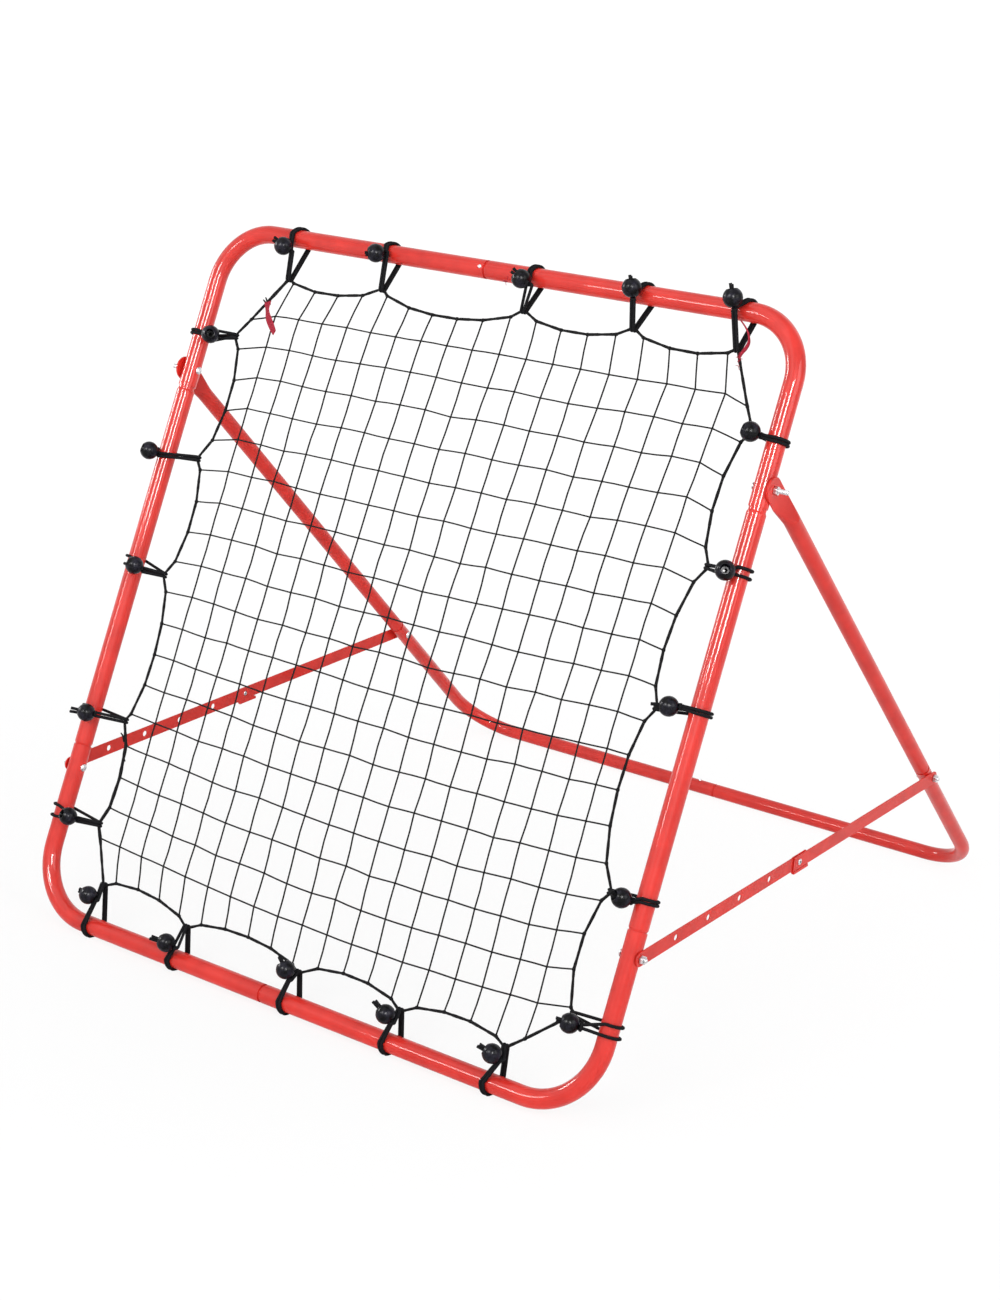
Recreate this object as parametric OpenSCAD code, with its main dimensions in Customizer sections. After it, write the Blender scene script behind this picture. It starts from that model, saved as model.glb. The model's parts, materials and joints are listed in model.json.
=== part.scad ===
// Pitch back rebounder: a square net in a leaning tube frame, carried by a fold-out rear stand.
// X runs across the width, Y to the back, Z up. The origin lies on the floor, under the middle
// of the front frame's bottom bar.

/* [Front frame] */
// Distance between the side tubes' centre lines
frame_w = 934.6; // [800:0.1:1100]
// Distance between the bottom and top bars' centre lines, along the frame
frame_h = 1006; // [960:1:1200]
// Lean of the frame, back from upright
frame_tilt = 22.5; // [15:0.5:30]
// Outer diameter of the front frame's tube
frame_tube_d = 25.4; // [22:0.1:30]
// Wall of every tube
tube_wall = 1.2; // [0.8:0.1:2]
// Centre-line radius of the two top bends
top_bend_r = 78; // [60:1:110]
// Centre-line radius of the two bottom bends
bottom_bend_r = 92; // [60:1:110]
// Height of the upper tube joints, up the frame
upper_joint = 770; // [700:1:800]
// Height of the lower tube joints, up the frame
lower_joint = 235.6; // [220:0.1:300]
// Place of the top bar's joint, right of the middle
top_bar_joint = -17; // [-100:1:100]
// Place of the bottom bar's joint, right of the middle
bottom_bar_joint = -43; // [-100:1:100]

/* [Tube joints] */
// Length of a reduced tube end inside its neighbour
swage_l = 45; // [40:1:60]
// Radial clearance of a reduced end in its neighbour
swage_fit = 0.2; // [0.1:0.05:0.4]
// Reduced neck that shows at the upper joints
upper_neck = 4.5; // [0.5:0.1:8]
// Reduced neck that shows at every other joint
plain_neck = 0.8; // [0.4:0.1:4]
// Length of the shoulder between the neck and the full tube
shoulder_l = 3; // [1:0.5:6]
// Distance from the top bar's joint to its screw
top_screw_back = 5; // [4:0.5:30]
// Distance from the other bars' joints to their screws
screw_back = 30; // [8:1:35]
// Diameter of a joint screw
screw_d = 3; // [2:0.5:5]
// Diameter of a joint screw's head
screw_head_d = 5.5; // [4:0.5:10]
// Height of a joint screw's head
screw_head_h = 1.5; // [1:0.1:4]

/* [Stand] */
// Outer diameter of the stand's tube
stand_tube_d = 22.2; // [19:0.1:25]
// Length of a leg, from the hinge to the stand bar's centre line
leg_l = 1079; // [1000:1:1200]
// Centre-line radius of the stand's two bends
stand_bend_r = 85; // [50:1:110]
// Distance of the legs' centre lines outside the side tubes' outer faces
leg_offset = 4.9; // [3:0.1:8]
// Distance from the upper tube joint up to the hinge
hinge_above_joint = 25; // [15:1:35]
// Width of a leg's flattened top
plate_w = 32.5; // [28:0.5:36]
// Thickness of a leg's flattened top
plate_t = 2.5; // [2:0.1:4]
// Straight length of a leg's flattened top below the hinge
plate_l = 24; // [18:1:40]
// Length over which the flattened top opens into the round tube
taper_l = 40; // [30:1:60]
// Place of the stand bar's joint, right of the middle
stand_bar_joint = 15; // [-100:1:100]

/* [Struts] */
// Distance from the lower tube joint down to the strut's front bolt
strut_below_joint = 30.6; // [15:0.1:35]
// Distance along the leg from the hinge to the strut's rear bolt
strut_on_leg = 765; // [700:1:800]
// Distance from the strut's rear bolt up to the leg's tube joint
leg_joint_above = 24; // [15:1:35]
// Width of a strut bar
bar_w = 19.5; // [15:0.5:22]
// Thickness of a strut bar
bar_t = 1.5; // [1.2:0.1:3]
// Gap between the two bars of a strut
bar_gap = 0.4; // [0.3:0.1:1]
// Distance from the front bolt to the first setting hole
first_hole = 79.3; // [60:0.1:100]
// Distance between setting holes
hole_pitch = 76.5; // [60:0.1:80]
// Number of setting holes
hole_count = 5; // [3:1:6]
// Diameter of a setting hole
hole_d = 8.4; // [6:0.1:10]
// Front bar's length past its last hole
front_bar_tail = 20; // [15:1:30]
// Rear bar's length past the lock pin
rear_bar_tail = 15; // [12:1:30]
// Length of the guide at the front bar's end
guide_l = 38; // [25:1:50]
// Rise of the guide's upper edge over the bar
guide_rise = 1; // [0.5:0.5:5]
// Drop of the guide's lower edge under the bar
guide_drop = 5; // [3:0.5:10]
// Clearance between the guide's lower lip and the rear bar's edge
lip_gap = 1; // [0.5:0.1:3]
// Length by which the lip reaches past the front bar's end
lip_reach = 5; // [0:0.5:10]

/* [Bolts and pins] */
// Diameter of the bolts
bolt_d = 6; // [5:0.5:8]
// Radial running clearance round a bolt or a pin
bolt_fit = 0.08; // [0.02:0.01:0.1]
// Diameter of a bolt's domed head
bolt_head_d = 11; // [9:0.5:14]
// Height of a bolt's domed head
bolt_head_h = 3.3; // [2:0.1:5]
// Nut size across its corners
nut_d = 11.5; // [9:0.1:15]
// Height of a nut
nut_h = 5; // [3:0.1:7]
// Thread that stands out past the hinge nuts
hinge_thread_out = 14; // [2:1:20]
// Thread that stands out past the strut nuts
strut_thread_out = 3; // [1:0.5:8]
// Gap between parts that turn on each other
side_gap = 0.3; // [0.3:0.05:0.6]
// Diameter of a lock pin
pin_d = 7.4; // [5:0.1:8]
// Diameter of a lock pin's head
pin_head_d = 8.6; // [8:0.1:14]
// Height of a lock pin's head
pin_head_h = 1.5; // [1:0.1:5]

/* [Net] */
// Number of strings each way
string_count = 16; // [8:1:16]
// Thickness of a string
string_d = 1.4; // [1:0.1:2.5]
// Distance between the outermost upright strings
strings_w = 700; // [600:1:740]
// Distance between the outermost level strings
strings_h = 764; // [650:1:790]
// Thickness of the border rope
rope_d = 3; // [2:0.1:5]
// Distance from the top bar's centre line to the rope at a toggle
top_rope_gap = 49; // [40:1:70]
// Distance from the bottom bar's centre line to the rope at a toggle
bottom_rope_gap = 50; // [40:1:70]
// Distance from the left tube's centre line to the rope at a toggle
left_rope_gap = 61; // [40:1:75]
// Distance from the right tube's centre line to the rope at a toggle
right_rope_gap = 51; // [40:1:75]
// Depth of the rope's bow between two toggles
rope_bow = 20; // [5:1:30]
// Depth of the rope's bow across a corner
corner_bow = 6; // [0:1:15]

/* [Toggles] */
// Places of the toggles on the top bar, right of the middle
top_toggles = [-344, -182, 58, 228, 377];
// Places of the toggles on the bottom bar, right of the middle
bottom_toggles = [-357, -190, 13, 178, 338];
// Places of the toggles on the left side tube, above the frame's middle
left_toggles = [351, 172, 2, -217, -366];
// Places of the toggles on the right side tube, above the frame's middle
right_toggles = [356, 187, 7, -222, -388];
// Diameter of a toggle ball
ball_d = 27; // [20:0.5:30]
// Diameter of the elastic cord
cord_d = 4.5; // [3:0.1:6]
// Distance between the two strands of a toggle, centre to centre
strand_pitch = 5; // [4.8:0.1:9]
// Clearance between a cord and what it goes round
cord_fit = 0.3; // [0.2:0.05:0.6]
// Thickness left of a cord that is pinched between the bottom bar and the floor
pinched_cord = 1; // [0.8:0.1:2]
// Places of the top balls, below the top bar's centre line
top_balls = [20, 8, 10, 0, -10];
// Places of the right-hand balls, inside the side tube's centre line
right_balls = [29, 5, 31, 22, 44];
// Places of the bottom balls, above the bottom bar's centre line
bottom_balls = [40, 20, 40, 35, 36];
// Places of the left-hand balls, inside the side tube's centre line
left_balls = [37, -11, 22, 11, 31];

/* [Markers] */
// Width of the ribbon tied to the rope
ribbon_w = 9; // [5:0.5:15]
// Thickness of the ribbon
ribbon_t = 0.6; // [0.4:0.1:1.5]
// Gap between the ribbon's loop and the rope
ribbon_gap = 0.5; // [0.3:0.1:2]
// Length of the ribbon's tail
ribbon_l = 46; // [20:1:80]
// Thickness of the thread loop
thread_d = 1.4; // [1:0.1:3]
// Diameter of the thread loop
thread_loop_d = 22; // [12:1:40]

/* [Hidden] */
$fn = 48;

// Colours
red = [0.87, 0.22, 0.18];
black = [0.09, 0.09, 0.10];
rope_black = [0.13, 0.13, 0.13];
zinc = [0.80, 0.81, 0.82];

// Overlap of a cutting shape past the face that it cuts
cut = 1;

// Tube radii and planes
frame_r = frame_tube_d / 2;
stand_r = stand_tube_d / 2;
side_x = frame_w / 2;
side_face = side_x + frame_r;
leg_x = side_face + leg_offset;
leg_face = leg_x + stand_r;
bar_z = frame_r + pinched_cord;

// Heights up the frame
hinge_up = upper_joint + hinge_above_joint;
strut_up = lower_joint - strut_below_joint;

// The hinge, the strut's two ends and the angles between them, as [y, z] in the side view
function on_frame(up) = [up * sin(frame_tilt), bar_z + up * cos(frame_tilt)];
hinge = on_frame(hinge_up);
leg_angle = acos((hinge[1] - stand_r) / leg_l);
function on_leg(down) = hinge + down * [sin(leg_angle), -cos(leg_angle)];
strut_front = on_frame(strut_up);
strut_rear = on_leg(strut_on_leg);
strut_run = strut_rear - strut_front;
strut_l = norm(strut_run);
strut_angle = atan2(strut_run[1], strut_run[0]);
pin_along = first_hole + (hole_count - 1) * hole_pitch;

// Bars lie on the outer faces of the tube and of the leg, so the strut slants outward
bar_face = side_face + side_gap;
leg_bar_face = leg_face + side_gap;
strut_slant = atan((leg_bar_face - bar_face - bar_t - bar_gap) / strut_l);

// Bolt and pin bores
bolt_r = bolt_d / 2;
bore_r = bolt_r + bolt_fit;
leg_joint = strut_on_leg - leg_joint_above;

// Belt of elastic cord round a tube and the rope
cord_r = cord_d / 2;
tube_wrap_r = frame_r + cord_fit + cord_r;
rope_wrap_r = rope_d / 2 + cord_fit + cord_r;
ball_seat = cord_r + cord_fit + ball_d / 2;

// Straight steps of a cord's turn round the tube and round the rope
tube_steps = 24;
tie_steps = 10;

// Toggles on each side of the frame
side_ties = len(top_toggles);

// Height of a side toggle, passed to the near side of a bolted joint that its strands would foul
function clear_of_bolt(up, bolt_up, plate) =
    let (room = plate + (strand_pitch + cord_d) / 2 + cord_fit)
    abs(up - bolt_up) >= room ? up : bolt_up + (up < bolt_up ? -room : room);
function side_place(z) =
    let (up = clear_of_bolt(frame_h / 2 + z, strut_up, bar_w))
    clear_of_bolt(up, hinge_up, plate_w);

// Rope corners at the toggles, clockwise from the top left, as [x, height up the frame]
rope_ties = concat(
    [for (x = top_toggles) [x, frame_h - top_rope_gap]],
    [for (z = right_toggles) [side_x - right_rope_gap, side_place(z)]],
    [for (i = [side_ties - 1 : -1 : 0]) [bottom_toggles[i], bottom_rope_gap]],
    [for (i = [side_ties - 1 : -1 : 0]) [-side_x + left_rope_gap, side_place(left_toggles[i])]]
);
rope_steps = 4;
rope_sides = 8;

// The rope runs straight through each toggle's strands, clockwise like the ties
tie_l = strand_pitch + cord_d + rope_d;
function tie_run(i) = [[1, 0], [0, -1], [-1, 0], [0, 1]][floor(i / side_ties)] * tie_l / 2;
function tie_end(i) = rope_ties[i] + tie_run(i);
function tie_start(i) =
    let (j = (i + 1) % len(rope_ties))
    rope_ties[j] - tie_run(j);

// Slope of a stretch of rope against the bars
function rope_lean(i) =
    let (d = tie_start(i) - tie_end(i))
    atan2(d[1], d[0]);

// True where a stretch of rope crosses a corner of the frame
function is_corner(i) = (i + 1) % side_ties == 0;
function rope_point(i, t) =
    let (a = tie_end(i),
         b = tie_start(i),
         d = (b - a) / norm(b - a),
         bow = is_corner(i) ? corner_bow : rope_bow)
    a + (b - a) * t + [d[1], -d[0]] * bow * 4 * t * (1 - t);
rope_path = [
    for (i = [0 : len(rope_ties) - 1])
        for (k = [0 : rope_steps])
            rope_point(i, k / rope_steps)
];

// Places children drawn with Z up the frame, Y to its back and X across
module in_frame() {
    translate([0, 0, bar_z])
        rotate([-frame_tilt, 0, 0])
            children();
}

// Places children drawn with the hinge as origin and Z up the leg
module in_stand() {
    translate([0, hinge[0], hinge[1]])
        rotate([leg_angle, 0, 0])
            children();
}

// Places children drawn with Y along the strut, from a point of the side view
module in_strut(point) {
    translate([0, point[0], point[1]])
        rotate([strut_angle, 0, 0])
            children();
}

module left_side() {
    mirror([1, 0, 0])
        children();
}

module both_sides() {
    children();
    left_side()
        children();
}

// A cylinder along X from x0 to x1
module along_x(x0, x1, r) {
    translate([x0, 0, 0])
        rotate([0, 90, 0])
            cylinder(h = x1 - x0, r = r);
}

// A quarter bend in the X-Z plane, from up on the right to across on top
module quarter_bend(bend_r, r) {
    rotate([90, 0, 0])
        rotate_extrude(angle = 90, $fn = 96)
            translate([bend_r, 0])
                circle(r = r, $fn = 48);
}

// Round bar bent into an L: up to the corner at [corner_x, corner_z], then across to end_x
module bent_bar(corner_x, corner_z, start_z, end_x, bend_r, r, extra) {
    translate([corner_x, 0, start_z - extra])
        cylinder(h = corner_z - bend_r - start_z + extra, r = r);
    translate([corner_x - bend_r, 0, corner_z - bend_r])
        quarter_bend(bend_r, r);
    translate([0, 0, corner_z])
        along_x(end_x - extra, corner_x - bend_r, r);
}

module bent_tube(corner_x, corner_z, start_z, end_x, bend_r, r) {
    difference() {
        union()
            bent_bar(corner_x, corner_z, start_z, end_x, bend_r, r, 0);
        bent_bar(corner_x, corner_z, start_z, end_x, bend_r, r - tube_wall, cut);
    }
}

// Outside of a reduced tube end that points down from z = 0: shoulder, neck and plug
module swage_outside(r, neck) {
    plug_r = r - tube_wall - swage_fit;
    translate([0, 0, -shoulder_l])
        cylinder(h = shoulder_l, r1 = plug_r, r2 = r);
    translate([0, 0, -shoulder_l - neck - swage_l])
        cylinder(h = neck + swage_l, r = plug_r);
}

module swage_inside(r, neck) {
    plug_r = r - tube_wall - swage_fit;
    translate([0, 0, -shoulder_l])
        cylinder(h = shoulder_l, r1 = plug_r - tube_wall, r2 = r - tube_wall);
    translate([0, 0, -shoulder_l - neck - swage_l - cut])
        cylinder(h = neck + swage_l + cut, r = plug_r - tube_wall);
}

// Straight tube from z0 to z1, whose ends may be reduced beyond them
module straight_bar(z0, z1, r, low_neck, high_neck, inside) {
    extra = inside ? cut : 0;
    translate([0, 0, low_neck < 0 ? z0 - extra : z0])
        cylinder(h = z1 - z0 + (low_neck < 0 ? extra : 0) + (high_neck < 0 ? extra : 0),
                 r = inside ? r - tube_wall : r);
    if (low_neck >= 0)
        translate([0, 0, z0])
            if (inside)
                swage_inside(r, low_neck);
            else
                swage_outside(r, low_neck);
    if (high_neck >= 0)
        translate([0, 0, z1])
            mirror([0, 0, 1])
                if (inside)
                    swage_inside(r, high_neck);
                else
                    swage_outside(r, high_neck);
}

// Front frame ---------------------------------------------------------------------------------

module frame_bolt_bore(up) {
    translate([0, 0, up])
        along_x(side_x - frame_r - cut, side_face + cut, bore_r);
}

// Hole for a joint screw that enters a bar from the direction [0, dir_y, dir_z]
module screw_bore(x, z, r, turn) {
    translate([x, 0, z])
        rotate([turn, 0, 0])
            cylinder(h = r + cut, r = screw_d / 2 + bolt_fit);
}

// Turn from straight up to the side on which each screw sits
top_screw_turn = 90;
bottom_screw_turn = -60;
stand_screw_turn = -leg_angle;
top_screw_x = top_bar_joint - top_screw_back;
bottom_screw_x = bottom_bar_joint - screw_back;
stand_screw_x = stand_bar_joint - screw_back;

// Reduced end of a bar that points left into its neighbour
module bar_swage(joint_x, z, r, inside) {
    translate([joint_x + plain_neck + shoulder_l, 0, z])
        rotate([0, 90, 0])
            if (inside)
                swage_inside(r, plain_neck);
            else
                swage_outside(r, plain_neck);
}

// Right-hand bent tube whose bar ends in a reduced end
module swaged_bent_tube(corner_x, corner_z, start_z, joint_x, bend_r, r) {
    full_x = joint_x + plain_neck + shoulder_l;
    difference() {
        union() {
            bent_bar(corner_x, corner_z, start_z, full_x, bend_r, r, 0);
            bar_swage(joint_x, corner_z, r, false);
        }
        bent_bar(corner_x, corner_z, start_z, full_x, bend_r, r - tube_wall, 0);
        translate([corner_x, 0, start_z - cut])
            cylinder(h = 2 * cut, r = r - tube_wall);
        bar_swage(joint_x, corner_z, r, true);
    }
}

module top_left_corner_tube() {
    color(red)
        in_frame()
            difference() {
                left_side()
                    bent_tube(side_x, frame_h, upper_joint, -top_bar_joint, top_bend_r, frame_r);
                left_side()
                    frame_bolt_bore(hinge_up);
                screw_bore(top_screw_x, frame_h, frame_r, top_screw_turn);
            }
}

module top_right_corner_tube() {
    color(red)
        in_frame()
            difference() {
                swaged_bent_tube(side_x, frame_h, upper_joint, top_bar_joint, top_bend_r, frame_r);
                frame_bolt_bore(hinge_up);
                screw_bore(top_screw_x, frame_h, frame_r, top_screw_turn);
            }
}

module side_tube() {
    low = lower_joint + plain_neck + shoulder_l;
    high = upper_joint - upper_neck - shoulder_l;
    difference() {
        translate([side_x, 0, 0])
            difference() {
                union()
                    straight_bar(low, high, frame_r, plain_neck, upper_neck, false);
                straight_bar(low, high, frame_r, plain_neck, upper_neck, true);
            }
        frame_bolt_bore(hinge_up);
        frame_bolt_bore(strut_up);
    }
}

module left_side_tube() {
    color(red)
        in_frame()
            left_side()
                side_tube();
}

module right_side_tube() {
    color(red)
        in_frame()
            side_tube();
}

// Turns a top corner upside down, so that it serves as a bottom corner
module as_bottom() {
    mirror([0, 0, 1])
        children();
}

module bottom_left_corner_tube() {
    color(red)
        in_frame()
            difference() {
                as_bottom()
                    left_side()
                        bent_tube(side_x, 0, -lower_joint, -bottom_bar_joint, bottom_bend_r, frame_r);
                left_side()
                    frame_bolt_bore(strut_up);
                screw_bore(bottom_screw_x, 0, frame_r, bottom_screw_turn);
            }
}

module bottom_right_corner_tube() {
    color(red)
        in_frame()
            difference() {
                as_bottom()
                    swaged_bent_tube(side_x, 0, -lower_joint, bottom_bar_joint, bottom_bend_r, frame_r);
                frame_bolt_bore(strut_up);
                screw_bore(bottom_screw_x, 0, frame_r, bottom_screw_turn);
            }
}

// Screw through both walls of a bar's joint
module joint_screw(x, z, r, turn) {
    shank_l = 2 * tube_wall + swage_fit + cut;
    translate([x, 0, z])
        rotate([turn, 0, 0]) {
            translate([0, 0, r])
                cylinder(h = screw_head_h, d1 = screw_head_d, d2 = screw_head_d * 0.7);
            translate([0, 0, r - shank_l])
                cylinder(h = shank_l, d = screw_d);
        }
}

module top_joint_screw() {
    color(zinc)
        in_frame()
            joint_screw(top_screw_x, frame_h, frame_r, top_screw_turn);
}

module bottom_joint_screw() {
    color(zinc)
        in_frame()
            joint_screw(bottom_screw_x, 0, frame_r, bottom_screw_turn);
}

// Bolts and nuts ------------------------------------------------------------------------------

// Domed head whose flat base lies at x = 0 and whose dome points to -X
module bolt_head() {
    dome_r = (bolt_head_d * bolt_head_d / 4 + bolt_head_h * bolt_head_h) / (2 * bolt_head_h);
    intersection() {
        translate([dome_r - bolt_head_h, 0, 0])
            sphere(r = dome_r);
        along_x(-bolt_head_h - cut, 0, bolt_head_d);
    }
}

module bolt(x0, x1) {
    translate([x0, 0, 0])
        bolt_head();
    along_x(x0 - 0.5, x1, bolt_r);
}

module nut(x) {
    difference() {
        translate([x, 0, 0])
            rotate([0, 90, 0])
                cylinder(h = nut_h, d = nut_d, $fn = 6);
        along_x(x - cut, x + nut_h + cut, bore_r);
    }
}

module at_point(point) {
    translate([0, point[0], point[1]])
        children();
}

// Base of each nut along X
hinge_nut_x = side_face + side_gap + plate_t + side_gap;
front_nut_x = bar_face + bar_t + side_gap + bar_w / 2 * tan(strut_slant);
rear_nut_x = leg_bar_face + bar_t + side_gap + bar_w / 2 * tan(strut_slant);

module hinge_bolts() {
    color(zinc)
        both_sides()
            at_point(hinge)
                bolt(side_x - frame_r, hinge_nut_x + nut_h + hinge_thread_out);
}

module hinge_nuts() {
    color(zinc)
        both_sides()
            at_point(hinge)
                nut(hinge_nut_x);
}

module strut_front_bolts() {
    color(zinc)
        both_sides()
            at_point(strut_front)
                bolt(side_x - frame_r, front_nut_x + nut_h + strut_thread_out);
}

module strut_front_nuts() {
    color(zinc)
        both_sides()
            at_point(strut_front)
                nut(front_nut_x);
}

module strut_rear_bolts() {
    color(zinc)
        both_sides()
            at_point(strut_rear)
                bolt(leg_x - stand_r, rear_nut_x + nut_h + strut_thread_out);
}

module strut_rear_nuts() {
    color(zinc)
        both_sides()
            at_point(strut_rear)
                nut(rear_nut_x);
}

// Net and rope --------------------------------------------------------------------------------

// Room that the strings leave round the strands at each tie
module tie_clearances() {
    along = strand_pitch + cord_d + 2 * cord_fit;
    deep = 2 * (rope_wrap_r + cord_r + cord_fit);
    for (i = [0 : len(rope_ties) - 1])
        translate(rope_ties[i])
            rotate(90 * floor(i / side_ties))
                square([along, deep], center = true);
}

module net_mesh() {
    pitch_x = strings_w / (string_count - 1);
    pitch_z = strings_h / (string_count - 1);
    color(black)
        in_frame()
            rotate([90, 0, 0])
                translate([0, 0, -string_d / 2])
                    linear_extrude(height = string_d)
                        difference() {
                            intersection() {
                                union()
                                    for (i = [0 : string_count - 1]) {
                                        translate([i * pitch_x - strings_w / 2, frame_h / 2])
                                            square([string_d, frame_h], center = true);
                                        translate([0, frame_h / 2 + i * pitch_z - strings_h / 2])
                                            square([frame_w, string_d], center = true);
                                    }
                                polygon(rope_path);
                            }
                            tie_clearances();
                        }
}

// One closed round tube along the rope's path
module net_border_rope() {
    count = len(rope_path);
    rings = [
        for (i = [0 : count - 1])
            let (before = rope_path[(i + count - 1) % count],
                 after = rope_path[(i + 1) % count],
                 d = (after - before) / norm(after - before))
            for (k = [0 : rope_sides - 1])
                let (a = 360 * k / rope_sides,
                     side = rope_d / 2 * cos(a))
                [rope_path[i][0] + d[1] * side, rope_d / 2 * sin(a), rope_path[i][1] - d[0] * side]
    ];
    faces = [
        for (i = [0 : count - 1])
            for (k = [0 : rope_sides - 1])
                let (j = (i + 1) % count,
                     m = (k + 1) % rope_sides,
                     p = i * rope_sides + k,
                     q = i * rope_sides + m,
                     r = j * rope_sides + k,
                     s = j * rope_sides + m)
                for (face = [[p, r, s], [p, s, q]])
                    face
    ];
    color(rope_black)
        in_frame()
            polyhedron(points = rings, faces = faces);
}

// Toggles -------------------------------------------------------------------------------------

// Angle between a belt's straight strands and the line from the tube to the rope
function belt_angle(gap) = asin((tube_wrap_r - rope_wrap_r) / gap);

// Outline of a belt round the tube at the origin and round the rope at [gap, 0]
function belt_outline(gap, grow) =
    let (slope = belt_angle(gap),
         tube_turn = 180 + 2 * slope,
         rope_turn = 180 - 2 * slope)
    concat(
        [for (i = [0 : tube_steps])
            let (a = 90 - slope + tube_turn * i / tube_steps)
            (tube_wrap_r + grow) * [cos(a), sin(a)]],
        [for (i = [0 : tie_steps])
            let (a = slope - 90 + rope_turn * i / tie_steps)
            [gap, 0] + (rope_wrap_r + grow) * [cos(a), sin(a)]]
    );

// One strand of cord round the tube and the rope
module belt(gap) {
    translate([0, 0, -cord_r])
        linear_extrude(height = cord_d)
            difference() {
                polygon(belt_outline(gap, cord_r));
                polygon(belt_outline(gap, -cord_r));
            }
}

module bungee(gap) {
    for (side = [1, -1])
        translate([0, 0, side * strand_pitch / 2])
            belt(gap);
}

module top_bungee_loops() {
    color(black)
        in_frame()
            for (x = top_toggles)
                translate([x, 0, frame_h])
                    rotate([0, 90, 0])
                        bungee(top_rope_gap);
}

module bottom_bungee_loops() {
    color(black)
        difference() {
            in_frame()
                for (x = bottom_toggles)
                    translate([x, 0, 0])
                        rotate([0, -90, 0])
                            bungee(bottom_rope_gap);
            translate([-frame_w, -frame_w, -frame_h])
                cube([2 * frame_w, 2 * frame_w, frame_h]);
        }
}

module right_bungee_loops() {
    color(black)
        in_frame()
            for (z = right_toggles)
                translate([side_x, 0, side_place(z)])
                    rotate([0, 0, 180])
                        bungee(right_rope_gap);
}

module left_bungee_loops() {
    color(black)
        in_frame()
            for (z = left_toggles)
                translate([-side_x, 0, side_place(z)])
                    bungee(left_rope_gap);
}

// How far a ball stands in front of the frame's plane, seated on the front strand, when its
// centre lies the given way inside the tube's centre line
function ball_out(inside, gap) =
    let (slope = belt_angle(gap),
         reach = tube_wrap_r + ball_seat,
         bend = reach * sin(slope))
    inside < bend
        ? sqrt(reach * reach - inside * inside)
        : reach * cos(slope) - (inside - bend) * tan(slope);

module ball() {
    difference() {
        sphere(d = ball_d);
        rotate([90, 0, 0])
            cylinder(h = ball_d, d = cord_d);
    }
}

// The balls of one bar, the given ways above its centre line towards the net
module bar_balls(toggles, places, gap) {
    for (i = [0 : side_ties - 1])
        translate([toggles[i], -ball_out(places[i], gap), places[i]])
            ball();
}

module top_toggle_balls() {
    color(black)
        in_frame()
            translate([0, 0, frame_h])
                mirror([0, 0, 1])
                    bar_balls(top_toggles, top_balls, top_rope_gap);
}

module bottom_toggle_balls() {
    color(black)
        in_frame()
            bar_balls(bottom_toggles, bottom_balls, bottom_rope_gap);
}

module side_balls(toggles, places, gap) {
    for (i = [0 : side_ties - 1])
        translate([side_x - places[i], -ball_out(places[i], gap), side_place(toggles[i])])
            ball();
}

module right_toggle_balls() {
    color(black)
        in_frame()
            side_balls(right_toggles, right_balls, right_rope_gap);
}

module left_toggle_balls() {
    color(black)
        in_frame()
            left_side()
                side_balls(left_toggles, left_balls, left_rope_gap);
}

// Markers -------------------------------------------------------------------------------------

// Ribbon looped over the rope, where it crosses the top left corner
module marker_ribbon() {
    corner = len(rope_ties) - 1;
    tie = rope_point(corner, 0.5);
    loop_r = rope_d / 2 + ribbon_gap + ribbon_t;
    color(red)
        in_frame()
            translate([tie[0], 0, tie[1]]) {
                rotate([0, 90 - rope_lean(corner), 0])
                    difference() {
                        cylinder(h = ribbon_w, r = loop_r, center = true);
                        cylinder(h = ribbon_w + cut, r = loop_r - ribbon_t, center = true);
                    }
                translate([-ribbon_w / 2, -loop_r, -ribbon_l])
                    cube([ribbon_w, ribbon_t, ribbon_l]);
            }
}

// Thread loop hung on the rope beside the top right toggle
module marker_thread() {
    corner = side_ties - 1;
    tie = rope_point(corner, 0.2);
    hang = (rope_d + thread_d) / 2 + cord_fit;
    color(red)
        in_frame()
            translate([tie[0], 0, tie[1]])
                rotate([0, 90 - rope_lean(corner), 0])
                    translate([thread_loop_d / 2 - hang, 0, 0])
                        rotate_extrude($fn = 48)
                            translate([thread_loop_d / 2, 0])
                                circle(d = thread_d, $fn = 16);
}

// Stand ---------------------------------------------------------------------------------------

module stand_bolt_bore() {
    translate([0, 0, -strut_on_leg])
        along_x(leg_x - stand_r - cut, leg_face + cut, bore_r);
}

module leg_tube() {
    full_top = -plate_l - taper_l;
    full_low = -leg_joint + plain_neck + shoulder_l;
    plate_x = side_face + side_gap;
    bore_tip = taper_l * 0.7;
    difference() {
        union() {
            along_x(plate_x, plate_x + plate_t, plate_w / 2);
            translate([plate_x, -plate_w / 2, -plate_l])
                cube([plate_t, plate_w, plate_l]);
            hull() {
                translate([plate_x, -plate_w / 2, -plate_l])
                    cube([plate_t, plate_w, 0.5]);
                translate([leg_x, 0, full_top])
                    cylinder(h = 0.5, r = stand_r, $fn = 32);
            }
            translate([leg_x, 0, 0])
                straight_bar(full_low, full_top, stand_r, plain_neck, -1, false);
        }
        translate([leg_x, 0, 0])
            straight_bar(full_low, full_top, stand_r, plain_neck, -1, true);
        translate([leg_x, 0, full_top])
            cylinder(h = bore_tip, r1 = stand_r - tube_wall, r2 = 0.5);
        along_x(plate_x - cut, plate_x + plate_t + cut, bore_r);
        stand_bolt_bore();
    }
}

module left_leg_tube() {
    color(red)
        in_stand()
            left_side()
                leg_tube();
}

module right_leg_tube() {
    color(red)
        in_stand()
            leg_tube();
}

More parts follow.
